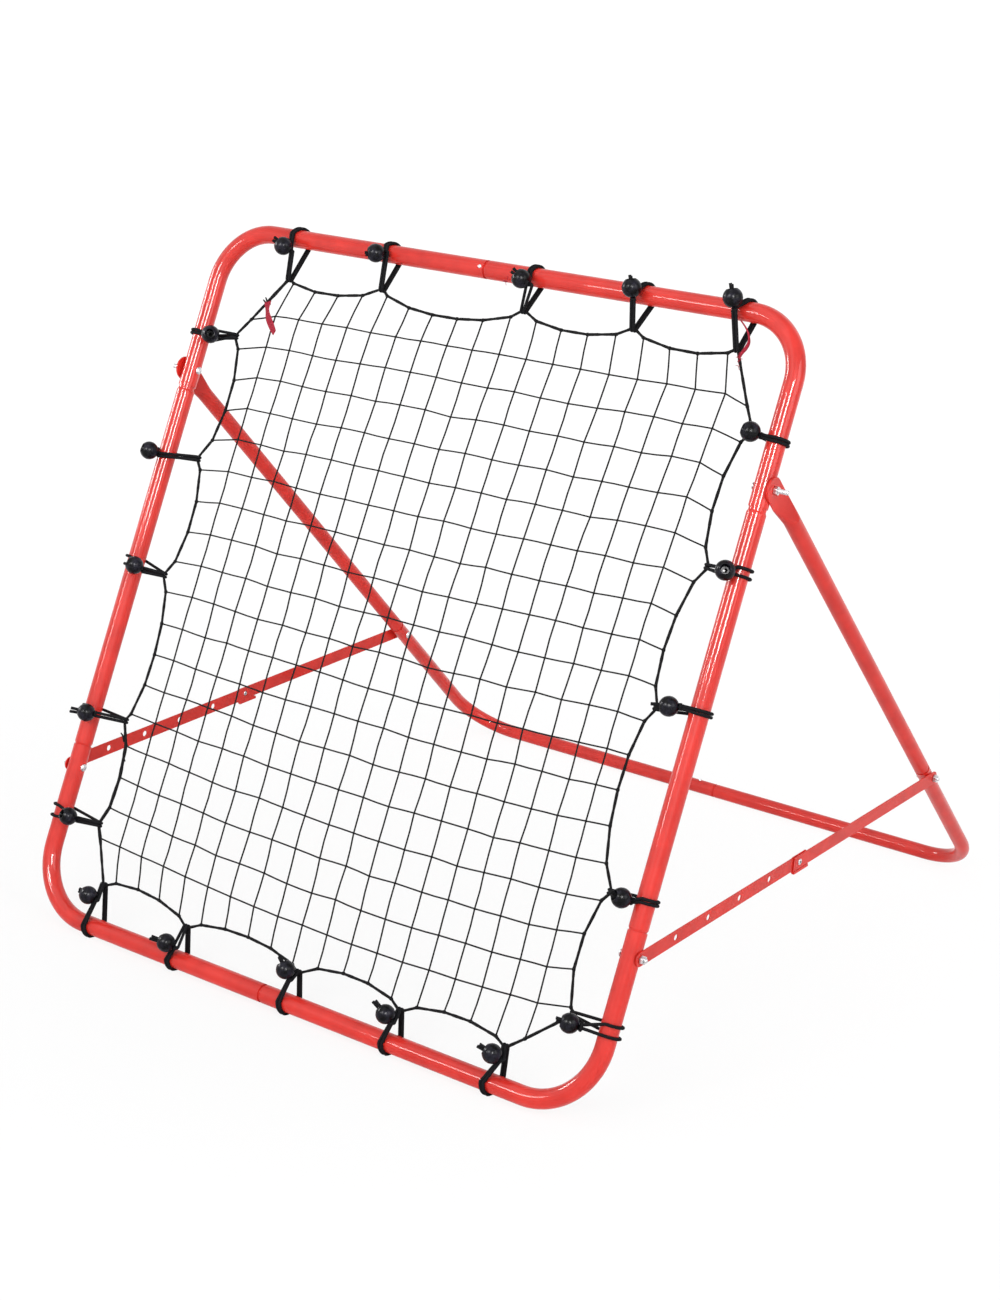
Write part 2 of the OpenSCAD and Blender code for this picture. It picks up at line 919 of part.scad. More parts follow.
module stand_left_corner_tube() {
    color(red)
        in_stand()
            difference() {
                as_bottom()
                    left_side()
                        bent_tube(leg_x, leg_l, leg_joint, -stand_bar_joint, stand_bend_r, stand_r);
                left_side()
                    stand_bolt_bore();
                screw_bore(stand_screw_x, -leg_l, stand_r, stand_screw_turn);
            }
}

module stand_right_corner_tube() {
    color(red)
        in_stand()
            difference() {
                as_bottom()
                    swaged_bent_tube(leg_x, leg_l, leg_joint, stand_bar_joint, stand_bend_r, stand_r);
                stand_bolt_bore();
                screw_bore(stand_screw_x, -leg_l, stand_r, stand_screw_turn);
            }
}

module stand_joint_screw() {
    color(zinc)
        in_stand()
            joint_screw(stand_screw_x, -leg_l, stand_r, stand_screw_turn);
}

// Struts --------------------------------------------------------------------------------------

// Flat bar along Y from y0 to y1, with round ends, whose inner face lies at x = 0
module flat_bar(y0, y1) {
    translate([0, y0, -bar_w / 2])
        cube([bar_t, y1 - y0, bar_w]);
    translate([0, y0, 0])
        along_x(0, bar_t, bar_w / 2);
}

// Guide at the front bar's end: a wider plate and a lip folded out under the rear bar
module guide() {
    end = pin_along + front_bar_tail;
    start = end - guide_l;
    chamfer = guide_drop;
    lip_top = -bar_w / 2 - lip_gap;
    lip_low = -bar_w / 2 - guide_drop;
    rotate([90, 0, 90])
        linear_extrude(height = bar_t)
            polygon([
                [start, -bar_w / 2],
                [start + chamfer, lip_low],
                [end, lip_low],
                [end, bar_w / 2],
                [end - guide_rise, bar_w / 2 + guide_rise],
                [start + 2 * guide_rise, bar_w / 2 + guide_rise],
                [start, bar_w / 2]
            ]);
    translate([bar_t, start + chamfer, lip_low])
        cube([bar_gap + bar_t, end + lip_reach - start - chamfer, lip_top - lip_low]);
    translate([0, end, lip_low])
        cube([bar_t, lip_reach, lip_top - lip_low]);
}

module strut_front_bar() {
    in_strut(strut_front)
        difference() {
            translate([bar_face, 0, 0])
                rotate([0, 0, -strut_slant]) {
                    flat_bar(0, pin_along + front_bar_tail);
                    guide();
                }
            along_x(bar_face - cut, bar_face + bar_t + cut, bore_r);
            translate([bar_face, 0, 0])
                rotate([0, 0, -strut_slant])
                    for (i = [0 : hole_count - 1])
                        translate([0, first_hole + i * hole_pitch, 0])
                            along_x(-cut, bar_t + cut, hole_d / 2);
        }
}

// The rear bar's pin lies over the front bar's last hole
pin_back = strut_l - pin_along;

module strut_rear_bar() {
    in_strut(strut_rear)
        difference() {
            translate([leg_bar_face, 0, 0])
                rotate([0, 0, -strut_slant])
                    mirror([0, 1, 0])
                        flat_bar(0, pin_back + rear_bar_tail);
            along_x(leg_bar_face - cut, leg_bar_face + bar_t + cut, bore_r);
            translate([leg_bar_face, 0, 0])
                rotate([0, 0, -strut_slant])
                    translate([0, -pin_back, 0])
                        along_x(-cut, bar_t + cut, pin_d / 2 + bolt_fit);
        }
}

// Headed pin that is drawn back to the rear bar's inner face
module lock_pin() {
    in_strut(strut_rear)
        translate([leg_bar_face, 0, 0])
            rotate([0, 0, -strut_slant])
                translate([0, -pin_back, 0]) {
                    along_x(0, bar_t, pin_d / 2);
                    along_x(bar_t, bar_t + pin_head_h, pin_head_d / 2);
                }
}

module left_strut_front_bar() {
    color(red)
        left_side()
            strut_front_bar();
}

module right_strut_front_bar() {
    color(red)
        strut_front_bar();
}

module left_strut_rear_bar() {
    color(red)
        left_side()
            strut_rear_bar();
}

module right_strut_rear_bar() {
    color(red)
        strut_rear_bar();
}

module left_lock_pin() {
    color(zinc)
        left_side()
            lock_pin();
}

module right_lock_pin() {
    color(zinc)
        lock_pin();
}

top_left_corner_tube();
top_right_corner_tube();
left_side_tube();
right_side_tube();
bottom_left_corner_tube();
bottom_right_corner_tube();
top_joint_screw();
bottom_joint_screw();
hinge_bolts();
hinge_nuts();
strut_front_bolts();
strut_front_nuts();
net_mesh();
net_border_rope();
top_toggle_balls();
right_toggle_balls();
bottom_toggle_balls();
left_toggle_balls();
top_bungee_loops();
right_bungee_loops();
bottom_bungee_loops();
left_bungee_loops();
marker_ribbon();
marker_thread();
left_leg_tube();
right_leg_tube();
stand_left_corner_tube();
stand_right_corner_tube();
stand_joint_screw();
strut_rear_bolts();
strut_rear_nuts();
left_strut_front_bar();
right_strut_front_bar();
left_strut_rear_bar();
right_strut_rear_bar();
left_lock_pin();
right_lock_pin();
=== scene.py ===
"""Dresses the pitch back rebounder: coated tubes, woven net, border rope, ball toggles and fasteners."""

import json
import logging
import math
import random
from dataclasses import dataclass, field
from enum import Enum

import bpy
from mathutils import Matrix, Vector

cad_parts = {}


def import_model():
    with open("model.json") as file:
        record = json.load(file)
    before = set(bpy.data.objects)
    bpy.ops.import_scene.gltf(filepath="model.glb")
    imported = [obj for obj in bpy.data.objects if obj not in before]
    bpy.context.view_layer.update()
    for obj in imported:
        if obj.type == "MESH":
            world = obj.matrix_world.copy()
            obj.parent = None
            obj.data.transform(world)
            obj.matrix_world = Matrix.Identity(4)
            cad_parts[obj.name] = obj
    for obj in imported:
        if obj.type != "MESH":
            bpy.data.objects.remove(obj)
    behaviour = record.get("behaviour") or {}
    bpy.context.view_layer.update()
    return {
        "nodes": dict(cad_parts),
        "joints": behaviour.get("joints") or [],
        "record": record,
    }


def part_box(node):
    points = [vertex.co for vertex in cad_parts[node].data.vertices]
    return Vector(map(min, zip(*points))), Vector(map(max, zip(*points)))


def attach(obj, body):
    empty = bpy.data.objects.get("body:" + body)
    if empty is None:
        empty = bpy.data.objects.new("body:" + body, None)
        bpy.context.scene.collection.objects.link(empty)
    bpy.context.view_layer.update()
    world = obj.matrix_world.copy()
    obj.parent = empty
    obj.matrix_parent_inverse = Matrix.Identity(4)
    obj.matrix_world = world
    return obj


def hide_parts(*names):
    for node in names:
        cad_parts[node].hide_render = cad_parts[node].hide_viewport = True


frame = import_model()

BODY_OF = {node: body for body, nodes in frame["record"]["behaviour"]["bodies"].items() for node in nodes}
MM = 0.001
Colour = tuple[float, float, float]
Socket = bpy.types.NodeSocket
log = logging.getLogger("rebounder")


# Finishes ------------------------------------------------------------------------------------


class NodeSketch:
    """A node tree, built with short calls."""

    def __init__(self, owner: bpy.types.Material | bpy.types.World, shader: str = "Principled BSDF") -> None:
        """Opens the nodes of a material or of a world.

        Args:
            owner: What holds the nodes.
            shader: The name of its shader node.
        """
        owner.use_nodes = True
        self.material = owner
        self.tree = owner.node_tree
        self.shader = self.tree.nodes[shader]

    def feed(self, sockets: object, values: dict[str | int, object]) -> None:
        """Links sockets to others, or sets them to plain values.

        Args:
            sockets: A node's inputs.
            values: What each takes, by its name or number.
        """
        for key, value in values.items():
            if isinstance(value, Socket):
                self.tree.links.new(value, sockets[key])
            else:
                sockets[key].default_value = value

    def set(self, values: dict[str, object]) -> None:
        """Feeds the shader's own sockets."""
        self.feed(self.shader.inputs, values)

    def add(self, kind: str, values: dict[str | int, object] | None = None, **settings: object) -> object:
        """Adds a node.

        Args:
            kind: The node's type, without its common first word.
            values: What its sockets take.
            settings: Its properties, by name.

        Returns:
            The node's outputs.
        """
        node = self.tree.nodes.new("ShaderNode" + kind)
        for key, value in settings.items():
            setattr(node, key, value)
        self.feed(node.inputs, values or {})
        return node.outputs

    def math(self, operation: str, *values: object, clamp: bool = False) -> Socket:
        """Adds a math node.

        Args:
            operation: The node's operation.
            values: Its sockets or numbers, in order.
            clamp: Whether the result stays between 0 and 1.

        Returns:
            The result's socket.
        """
        return self.add("Math", dict(enumerate(values)), operation=operation, use_clamp=clamp)[0]

    def noise(self, scale: float, detail: float = 3.0, rough: float = 0.5) -> Socket:
        """Adds a noise pattern on the piece's own coordinates, in metres.

        Args:
            scale: Noise cells per metre.
            detail: Octaves of finer noise.
            rough: Strength of the finer octaves.

        Returns:
            The pattern's factor socket.
        """
        place = self.add("TexCoord")["Object"]
        values = {"Scale": scale, "Detail": detail, "Roughness": rough, "Vector": place}
        return self.add("TexNoise", values)["Fac"]

    def lay(self, along: float, around: float) -> tuple[Socket, Socket]:
        """Reads the piece's own UV map.

        Args:
            along: Factor on its first coordinate.
            around: Factor on its second coordinate.

        Returns:
            Both coordinates, times their factors.
        """
        parts = self.add("SeparateXYZ", {0: self.add("UVMap", uv_map="lay")["UV"]})
        return self.math("MULTIPLY", parts["X"], along), self.math("MULTIPLY", parts["Y"], around)

    def bump(self, height: Socket, depth: float, strength: float) -> Socket:
        """Roughens the shader's surface.

        Args:
            height: The height's socket, from 0 to 1.
            depth: Height in metres that 1 stands for.
            strength: How far the bump is used.

        Returns:
            The roughened normal's socket.
        """
        normal = self.add("Bump", {"Strength": strength, "Distance": depth, "Height": height})["Normal"]
        self.set({"Normal": normal})
        return normal


@dataclass(frozen=True)
class Finish:
    """A finish that varies between a deep and a light colour."""

    name: str
    deep: Colour
    colour: Colour

    def build(self) -> bpy.types.Material:
        """Makes the material.

        Returns:
            The material.
        """
        sketch = NodeSketch(bpy.data.materials.new(self.name))
        self.paint(sketch)
        return sketch.material

    def paint(self, sketch: NodeSketch) -> None:
        """Sets the shader's own look, which each kind of finish does in its own way."""
        raise NotImplementedError

    def tint(self, sketch: NodeSketch, factor: Socket, low: float, high: float) -> None:
        """Colours the shader.

        Args:
            sketch: The material's nodes.
            factor: What drives the colour.
            low: The factor at the deep colour.
            high: The factor at the light colour.
        """
        outputs = sketch.add("ValToRGB", {"Fac": factor})
        elements = outputs["Color"].node.color_ramp.elements
        for element, place, colour in zip(elements, (low, high), (self.deep, self.colour)):
            element.position = place
            element.color = (*colour, 1.0)
        sketch.set({"Base Color": outputs["Color"]})


@dataclass(frozen=True)
class CoatFinish(Finish):
    """Glossy powder coat on steel."""

    gloss: float = 0.4
    coat: float = 0.6

    def paint(self, sketch: NodeSketch) -> None:
        """Paints the coat: faint clouding, orange peel and uneven gloss.

        Args:
            sketch: The material's nodes.
        """
        self.tint(sketch, sketch.noise(22.0, 4.0, 0.55), 0.3, 0.62)
        rough = sketch.math("MULTIPLY_ADD", sketch.noise(75.0, 5.0, 0.6), 0.16, self.gloss - 0.08)
        sketch.set({"Roughness": rough, "Specular IOR Level": 0.12})
        sketch.set({"Coat Weight": self.coat, "Coat IOR": 1.4, "Coat Roughness": 0.015})
        sketch.set({"Coat Normal": sketch.bump(sketch.noise(700.0, 2.0), 0.00002, 0.15)})


@dataclass(frozen=True)
class PlateFinish(Finish):
    """Zinc plate on small fasteners."""

    roughness: float = 0.32

    def paint(self, sketch: NodeSketch) -> None:
        """Paints the plate: bright metal with a dull cloud.

        Args:
            sketch: The material's nodes.
        """
        self.tint(sketch, sketch.noise(400.0, 4.0, 0.6), 0.35, 0.6)
        sketch.set({"Metallic": 1.0, "Roughness": self.roughness})
        sketch.bump(sketch.noise(1500.0, 2.0), 0.00005, 0.4)


@dataclass(frozen=True)
class MouldedFinish(Finish):
    """Moulded black plastic of the toggle balls."""

    roughness: float = 0.26

    def paint(self, sketch: NodeSketch) -> None:
        """Paints the plastic: near black with faint flow marks and scuffs.

        Args:
            sketch: The material's nodes.
        """
        self.tint(sketch, sketch.noise(95.0, 4.0, 0.65), 0.42, 0.72)
        scuff = sketch.math("MULTIPLY_ADD", sketch.noise(500.0, 5.0, 0.7), 0.22, self.roughness - 0.1)
        sketch.set({"Roughness": scuff, "Specular IOR Level": 0.12})
        sketch.bump(sketch.noise(700.0, 3.0), 0.00012, 0.5)


@dataclass(frozen=True)
class BraidFinish(Finish):
    """Braided or twisted yarn round a cord, laid out on the cord's own UV map in metres."""

    pitch: float
    strands: int
    depth: float
    twisted: bool = False

    def paint(self, sketch: NodeSketch) -> None:
        """Paints the yarns: ridges that cross, or that all wind one way, with painted shade darkening the
        gaps between them.

        Args:
            sketch: The material's nodes.
        """
        along, around = sketch.lay(math.tau / self.pitch, math.tau * self.strands)
        ridge = sketch.math("SINE", sketch.math("ADD", along, around))
        if not self.twisted:
            other = sketch.math("SINE", sketch.math("SUBTRACT", along, around))
            ridge = sketch.math("MAXIMUM", ridge, other)
        fuzz = sketch.math("MULTIPLY", sketch.noise(2600.0, 3.0, 0.7), 0.35)
        height = sketch.math("ADD", sketch.math("MULTIPLY_ADD", ridge, 0.5, 0.5), fuzz)
        # Painted shade: the colour runs from deep in the gaps to light on the ridges, following the yarns'
        # height, with uneven fuzz mixed in.
        self.tint(sketch, height, 0.25, 0.95)
        sketch.set({"Roughness": 0.78, "Specular IOR Level": 0.08})
        sketch.bump(height, self.depth, 0.8)


@dataclass(frozen=True)
class RibbonFinish(Finish):
    """Plain woven ribbon, laid out on its own UV map in metres."""

    yarn: float = 0.6 * MM

    def paint(self, sketch: NodeSketch) -> None:
        """Paints the weave, with painted shade darkening its low spots and a random cloud of tone.

        Args:
            sketch: The material's nodes.
        """
        warp, weft = (sketch.math("SINE", turns) for turns in sketch.lay(*[math.tau / self.yarn] * 2))
        height = sketch.math("MULTIPLY_ADD", sketch.math("MULTIPLY", warp, weft), 0.5, 0.5)
        cloud = sketch.math("MULTIPLY", sketch.noise(300.0), 0.5)
        # Painted shade: the weave's height drives the colour, so its hollows are darker, with a random cloud
        # of tone mixed in.
        self.tint(sketch, sketch.math("MULTIPLY_ADD", height, 0.5, cloud), 0.25, 0.7)
        sketch.set({"Roughness": 0.7, "Sheen Weight": 0.02, "Specular IOR Level": 0.1})
        sketch.bump(height, 0.00015, 0.7)


class Finishes:
    """Every finish of the rebounder, made once."""

    def __init__(self) -> None:
        """Makes the materials."""
        reds = (0.60, 0.024, 0.017), (0.74, 0.034, 0.024)
        self.coat = CoatFinish("red_coat_gloss", *reds).build()
        self.bar_coat = CoatFinish("red_coat_bars", *reds, coat=0.25).build()
        self.plate = PlateFinish("zinc_plate_bright", (0.385, 0.3795, 0.3905), (0.70, 0.69, 0.71)).build()
        # Painted shade: a dark zinc finish for the pins' bores, standing in for the shade inside the recess.
        self.bore = PlateFinish("pin_bore_painted_shade", (0.0275, 0.02475, 0.02475), (0.05, 0.045, 0.045), 0.6).build()
        blacks = (0.0005, 0.0005, 0.0010), (0.022, 0.021, 0.034)
        self.ball = MouldedFinish("ball_plastic_black", *blacks).build()
        self.elastic = BraidFinish(
            "elastic_sleeve", (0.001, 0.001, 0.0015), (0.009, 0.009, 0.011), 3.6 * MM, 6, 0.35 * MM
        ).build()
        self.rope = BraidFinish(
            "rope_braid", (0.001, 0.001, 0.001), (0.009, 0.009, 0.010), 5.2 * MM, 4, 0.5 * MM
        ).build()
        self.string = BraidFinish(
            "net_twine", (0.003, 0.003, 0.003), (0.018, 0.018, 0.019), 2.2 * MM, 2, 0.3 * MM, twisted=True
        ).build()
        self.ribbon = RibbonFinish("ribbon_red", (0.26, 0.008, 0.020), (0.52, 0.028, 0.060)).build()


# Shared tools --------------------------------------------------------------------------------


def activate(*pieces: bpy.types.Object) -> None:
    """Selects pieces alone, and makes the first one active.

    Args:
        pieces: The pieces.
    """
    bpy.ops.object.select_all(action="DESELECT")
    for piece in pieces:
        piece.select_set(True)
    bpy.context.view_layer.objects.active = pieces[0]


def finish_piece(piece: bpy.types.Object, material: bpy.types.Material, node: str) -> None:
    """Gives a piece its material and its body, and hides the node that it stands for.

    Args:
        piece: The piece, in place.
        material: Its finish.
        node: The node that it replaces, and whose body it rides on.
    """
    piece.data.materials.clear()
    piece.data.materials.append(material)
    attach(piece, BODY_OF[node])
    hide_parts(node)
    log.info("%s: %d faces", piece.name, len(piece.data.polygons))


def smooth(angle: float) -> None:
    """Shades the active piece smooth, apart from edges sharper than an angle in degrees."""
    bpy.ops.object.shade_smooth_by_angle(angle=math.radians(angle))


def apply_modifier(piece: bpy.types.Object, kind: str, **settings: object) -> None:
    """Puts a modifier on the active piece and applies it.

    Args:
        piece: The piece.
        kind: The modifier's type.
        settings: Its properties, by name.
    """
    modifier = piece.modifiers.new(kind, kind)
    for key, value in settings.items():
        setattr(modifier, key, value)
    bpy.ops.object.modifier_apply(modifier=modifier.name)


def add_piece(name: str, mesh: bpy.types.Mesh) -> bpy.types.Object:
    """Puts a mesh into the scene as a piece, selected alone.

    Args:
        name: The piece's name.
        mesh: Its mesh.

    Returns:
        The piece.
    """
    piece = bpy.data.objects.new(name, mesh)
    bpy.context.scene.collection.objects.link(piece)
    activate(piece)
    return piece


def build_piece(
    name: str,
    points: list[Vector],
    edges: list[tuple[int, int]],
    faces: list[tuple[int, ...]],
    lay: list[tuple[float, float]] | None = None,
) -> bpy.types.Object:
    """Makes a piece from its points.

    Args:
        name: The piece's name.
        points: Its points.
        edges: Its loose edges, as numbers of points.
        faces: Its faces, as numbers of points.
        lay: The UV place of each corner of each face.

    Returns:
        The piece.
    """
    mesh = bpy.data.meshes.new(name)
    mesh.from_pydata([tuple(point) for point in points], edges, faces)
    if lay:
        for entry, corner in zip(mesh.uv_layers.new(name="lay").data, lay):
            entry.uv = corner
        mesh.validate()
    return add_piece(name, mesh)


def stretches(path: list, closed: bool) -> list[tuple]:
    """Pairs each entry of a path with the next one, back to the first if it is closed."""
    return list(zip(path, path[1:] + path[:1] if closed else path[1:]))


def between(low: float, high: float, share: float) -> float:
    """The value at a share of the way from low to high."""
    return low + (high - low) * share


def nearest(points: list[Vector], target: Vector) -> int:
    """The number of the point that is nearest to a target."""
    return min(range(len(points)), key=lambda index: (points[index] - target).length)


def smooth_path(points: list[Vector], closed: bool, rounds: int) -> list[Vector]:
    """Cuts the corners of a path.

    Args:
        points: The path's points.
        closed: Whether the path returns to its start.
        rounds: How often every corner is cut.

    Returns:
        The smoother path.
    """
    for _ in range(rounds):
        pairs = stretches(points, closed)
        made = [here.lerp(there, share) for here, there in pairs for share in (0.25, 0.75)]
        points = made if closed else points[:1] + made + points[-1:]
    return points


def divide_path(points: list[Vector], closed: bool, step: float, least: int) -> list[Vector]:
    """Adds even points between the points of a path.

    Args:
        points: The path's points.
        closed: Whether the path returns to its start.
        step: The distance between points that is aimed for.
        least: The least number of steps from one given point to the next.

    Returns:
        The finer path.
    """
    made = []
    for here, there in stretches(points, closed):
        count = max(least, round((there - here).length / step))
        made += [here.lerp(there, index / count) for index in range(count)]
    return made if closed else made + points[-1:]


@dataclass
class CordMaker:
    """Sweeps round cords along paths into one mesh, with a UV map in metres along and turns around."""

    name: str
    radius: float
    sides: int
    points: list[Vector] = field(default_factory=list)
    faces: list[tuple[int, ...]] = field(default_factory=list)
    lay: list[tuple[float, float]] = field(default_factory=list)

    def run(self, path: list[Vector], closed: bool = False, radii: list[float] | None = None) -> None:
        """Adds one cord.

        Args:
            path: Its middle line.
            closed: Whether it returns to its start.
            radii: Its radius at each point, or the maker's own radius all along.
        """
        count, sides, base = len(path), self.sides, len(self.points)
        radii = radii or [self.radius] * count
        side = None
        lengths = [0.0]
        for index, point in enumerate(path):
            before = path[index - 1] if closed or index else point
            after = path[(index + 1) % count] if closed or index < count - 1 else point
            forward = (after - before).normalized()
            if side is None:
                side = forward.orthogonal().normalized()
            side = (side - forward * side.dot(forward)).normalized()
            other = forward.cross(side)
            for turn in range(sides):
                angle = math.tau * turn / sides
                self.points.append(point + (side * math.cos(angle) + other * math.sin(angle)) * radii[index])
            lengths.append(lengths[-1] + (path[(index + 1) % count] - point).length)
        for index in range(count if closed else count - 1):
            here, there = base + index * sides, base + (index + 1) % count * sides
            start, stop = lengths[index], lengths[index + 1]
            for turn in range(sides):
                after = (turn + 1) % sides
                self.faces.append((here + turn, here + after, there + after, there + turn))
                low, high = turn / sides, (turn + 1) / sides
                self.lay += [(start, low), (start, high), (stop, high), (stop, low)]
        if not closed:
            turns = list(range(sides))
            self.add_cap(base, 0.0, turns[::-1])
            self.add_cap(base + (count - 1) * sides, lengths[count - 1], turns)

    def add_cap(self, base: int, length: float, turns: list[int]) -> None:
        """Closes one end of a cord.

        Args:
            base: The number of the end's first point.
            length: How far along the cord it lies.
            turns: The end's points, in the order in which they face outwards.
        """
        self.faces.append(tuple(base + turn for turn in turns))
        self.lay += [(length, turn / self.sides) for turn in turns]

    def knob(self, centre: Vector, axis: Vector, long_r: float, wide_r: float) -> None:
        """Adds a small knot as a short spindle.

        Args:
            centre: Its middle.
            axis: The direction of its length.
            long_r: Half its length.
            wide_r: Half its width.
        """
        steps = 4
        stations = [-math.cos(math.pi * (index + 0.5) / steps) for index in range(steps)]
        path = [centre + axis.normalized() * long_r * station for station in stations]
        self.run(path, radii=[wide_r * math.sqrt(1.0 - station * station) for station in stations])

    def make(self) -> bpy.types.Object:
        """Makes the piece.

        Returns:
            The piece.
        """
        piece = build_piece(self.name, self.points, [], self.faces, self.lay)
        smooth(50)
        return piece


def lathe(name: str, profile: list[tuple[float, float]], steps: int, ring: bool = False) -> bpy.types.Object:
    """Spins a profile round the Z axis.

    Args:
        name: The piece's name.
        profile: Points as radius and height, in order.
        steps: Steps of the turn.
        ring: Whether the profile closes on itself.

    Returns:
        The piece, at the origin.
    """
    points = [Vector((radius, 0.0, height)) for radius, height in profile]
    piece = build_piece(name, points, stretches(list(range(len(points))), ring), [])
    bpy.ops.object.mode_set(mode="EDIT")
    bpy.ops.mesh.select_all(action="SELECT")
    bpy.ops.mesh.spin(steps=steps, angle=math.tau, center=(0, 0, 0), axis=(0, 0, 1))
    bpy.ops.mesh.select_all(action="SELECT")
    bpy.ops.mesh.remove_doubles(threshold=1e-6)
    bpy.ops.mesh.normals_make_consistent(inside=False)
    bpy.ops.object.mode_set(mode="OBJECT")
    smooth(35)
    return piece


def copy_mesh(source: bpy.types.Object, name: str, place: Matrix) -> bpy.types.Object:
    """Copies a piece with its own mesh, moved into place.

    Args:
        source: The piece that is copied.
        name: The copy's name.
        place: Where the copy goes, baked into its mesh.

    Returns:
        The copy.
    """
    mesh = source.data.copy()
    mesh.transform(place)
    return add_piece(name, mesh)


def join_copies(name: str, template: bpy.types.Object, places: list[Matrix]) -> bpy.types.Object:
    """Joins copies of a template into one piece, with a mirrored copy turned right side out.

    Args:
        name: The piece's name.
        template: What is copied.
        places: Where each copy goes.

    Returns:
        The piece.
    """
    copies = [copy_mesh(template, f"{name}_{index}", place) for index, place in enumerate(places)]
    for copy, place in zip(copies, places):
        if place.determinant() < 0:
            copy.data.flip_normals()
    activate(*copies)
    bpy.ops.object.join()
    copies[0].name = copies[0].data.name = name
    return copies[0]


def aim(direction: Vector, centre: Vector) -> Matrix:
    """A placement that turns +Z to a direction and moves the origin to a point."""
    return Matrix.Translation(centre) @ direction.to_track_quat("Z", "Y").to_matrix().to_4x4()


def rounded_copy(node: str, width: float) -> bpy.types.Object:
    """Copies a node's solid with its sharp edges broken and its large flats kept flat.

    Args:
        node: The node.
        width: Width of the broken edges, or 0 to leave them.

    Returns:
        The copy.
    """
    piece = copy_mesh(frame["nodes"][node], node + "_dressed", Matrix.Identity(4))
    bpy.ops.object.mode_set(mode="EDIT")
    bpy.ops.mesh.select_all(action="SELECT")
    bpy.ops.mesh.remove_doubles(threshold=2e-6)
    bpy.ops.mesh.dissolve_limited(angle_limit=math.radians(0.6))
    bpy.ops.object.mode_set(mode="OBJECT")
    if width:
        apply_modifier(
            piece, "BEVEL", width=width, segments=2, limit_method="ANGLE", angle_limit=math.radians(38)
        )
    smooth(40)
    apply_modifier(piece, "WEIGHTED_NORMAL", keep_sharp=True)
    return piece


# The front frame's plane ---------------------------------------------------------------------


class Side(Enum):
    """The sides of the front frame, clockwise from the top."""

    TOP = "top"
    RIGHT = "right"
    BOTTOM = "bottom"
    LEFT = "left"


class FramePlane:
    """The leaning plane through the front frame's tubes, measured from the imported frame."""

    def __init__(self) -> None:
        """Reads the plane's lean, its size and the tube's radius."""
        low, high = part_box("right_side_tube")
        self.tube_r = (high.x - low.x) / 2
        self.side_x = (high.x + low.x) / 2
        places = {joint["name"]: Vector(joint["pos_m"]) for joint in frame["joints"]}
        rise = places["stand_fold"] - places["right_front_bar_swing"]
        self.lean = math.atan2(rise.y, rise.z)
        self.bar_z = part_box("bottom_left_corner_tube")[0].z + self.tube_r
        top_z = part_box("top_left_corner_tube")[1].z - self.tube_r
        self.height = (top_z - self.bar_z) / math.cos(self.lean)

    def point(self, spot: Vector | tuple[float, float], out: float = 0.0) -> Vector:
        """Places a spot of the plane.

        Args:
            spot: Distance right of the middle and distance up the frame from the bottom bar's centre line.
            out: Distance in front of the plane.

        Returns:
            The point.
        """
        across, up = spot
        rise, depth = math.cos(self.lean), math.sin(self.lean)
        return Vector((across, up * depth - out * rise, self.bar_z + up * rise + out * depth))

    def mark(self, across: float, up: float, out: float = 0.0) -> Vector:
        """Places a spot of the plane that is given in millimetres."""
        return self.point((across * MM, up * MM), out * MM)

    def direction(self, across: float, up: float, out: float = 0.0) -> Vector:
        """Turns a direction of the plane into one of the room."""
        return self.point((across, up), out) - self.point((0.0, 0.0))

    def beside(self, side: Side, inside: float, along: float) -> Vector:
        """Finds a spot beside one of the frame's bars.

        Args:
            side: The bar's side.
            inside: Distance from the bar's centre line towards the net.
            along: Distance right of the middle, or up from the bottom bar.

        Returns:
            The spot of the plane.
        """
        return {
            Side.TOP: Vector((along, self.height - inside)),
            Side.RIGHT: Vector((self.side_x - inside, along)),
            Side.BOTTOM: Vector((along, inside)),
            Side.LEFT: Vector((inside - self.side_x, along)),
        }[side]


@dataclass(frozen=True)
class Toggle:
    """One ball toggle. Lengths are in millimetres: places along the bar run right or up from the
    bottom bar's middle, and depths run from the tube's centre line towards the net. The ball's mouth
    points away from its strands, which part there by a number of cord radii. A tail of 0 stays inside."""

    tie: float
    tie_in: float
    bow: float
    wrap: float
    ball: float
    ball_in: float
    away: tuple[float, float, float]
    spread: float = 4.5
    drift: float = 0.0
    tail: float = 3.0
    part: float = 1.0


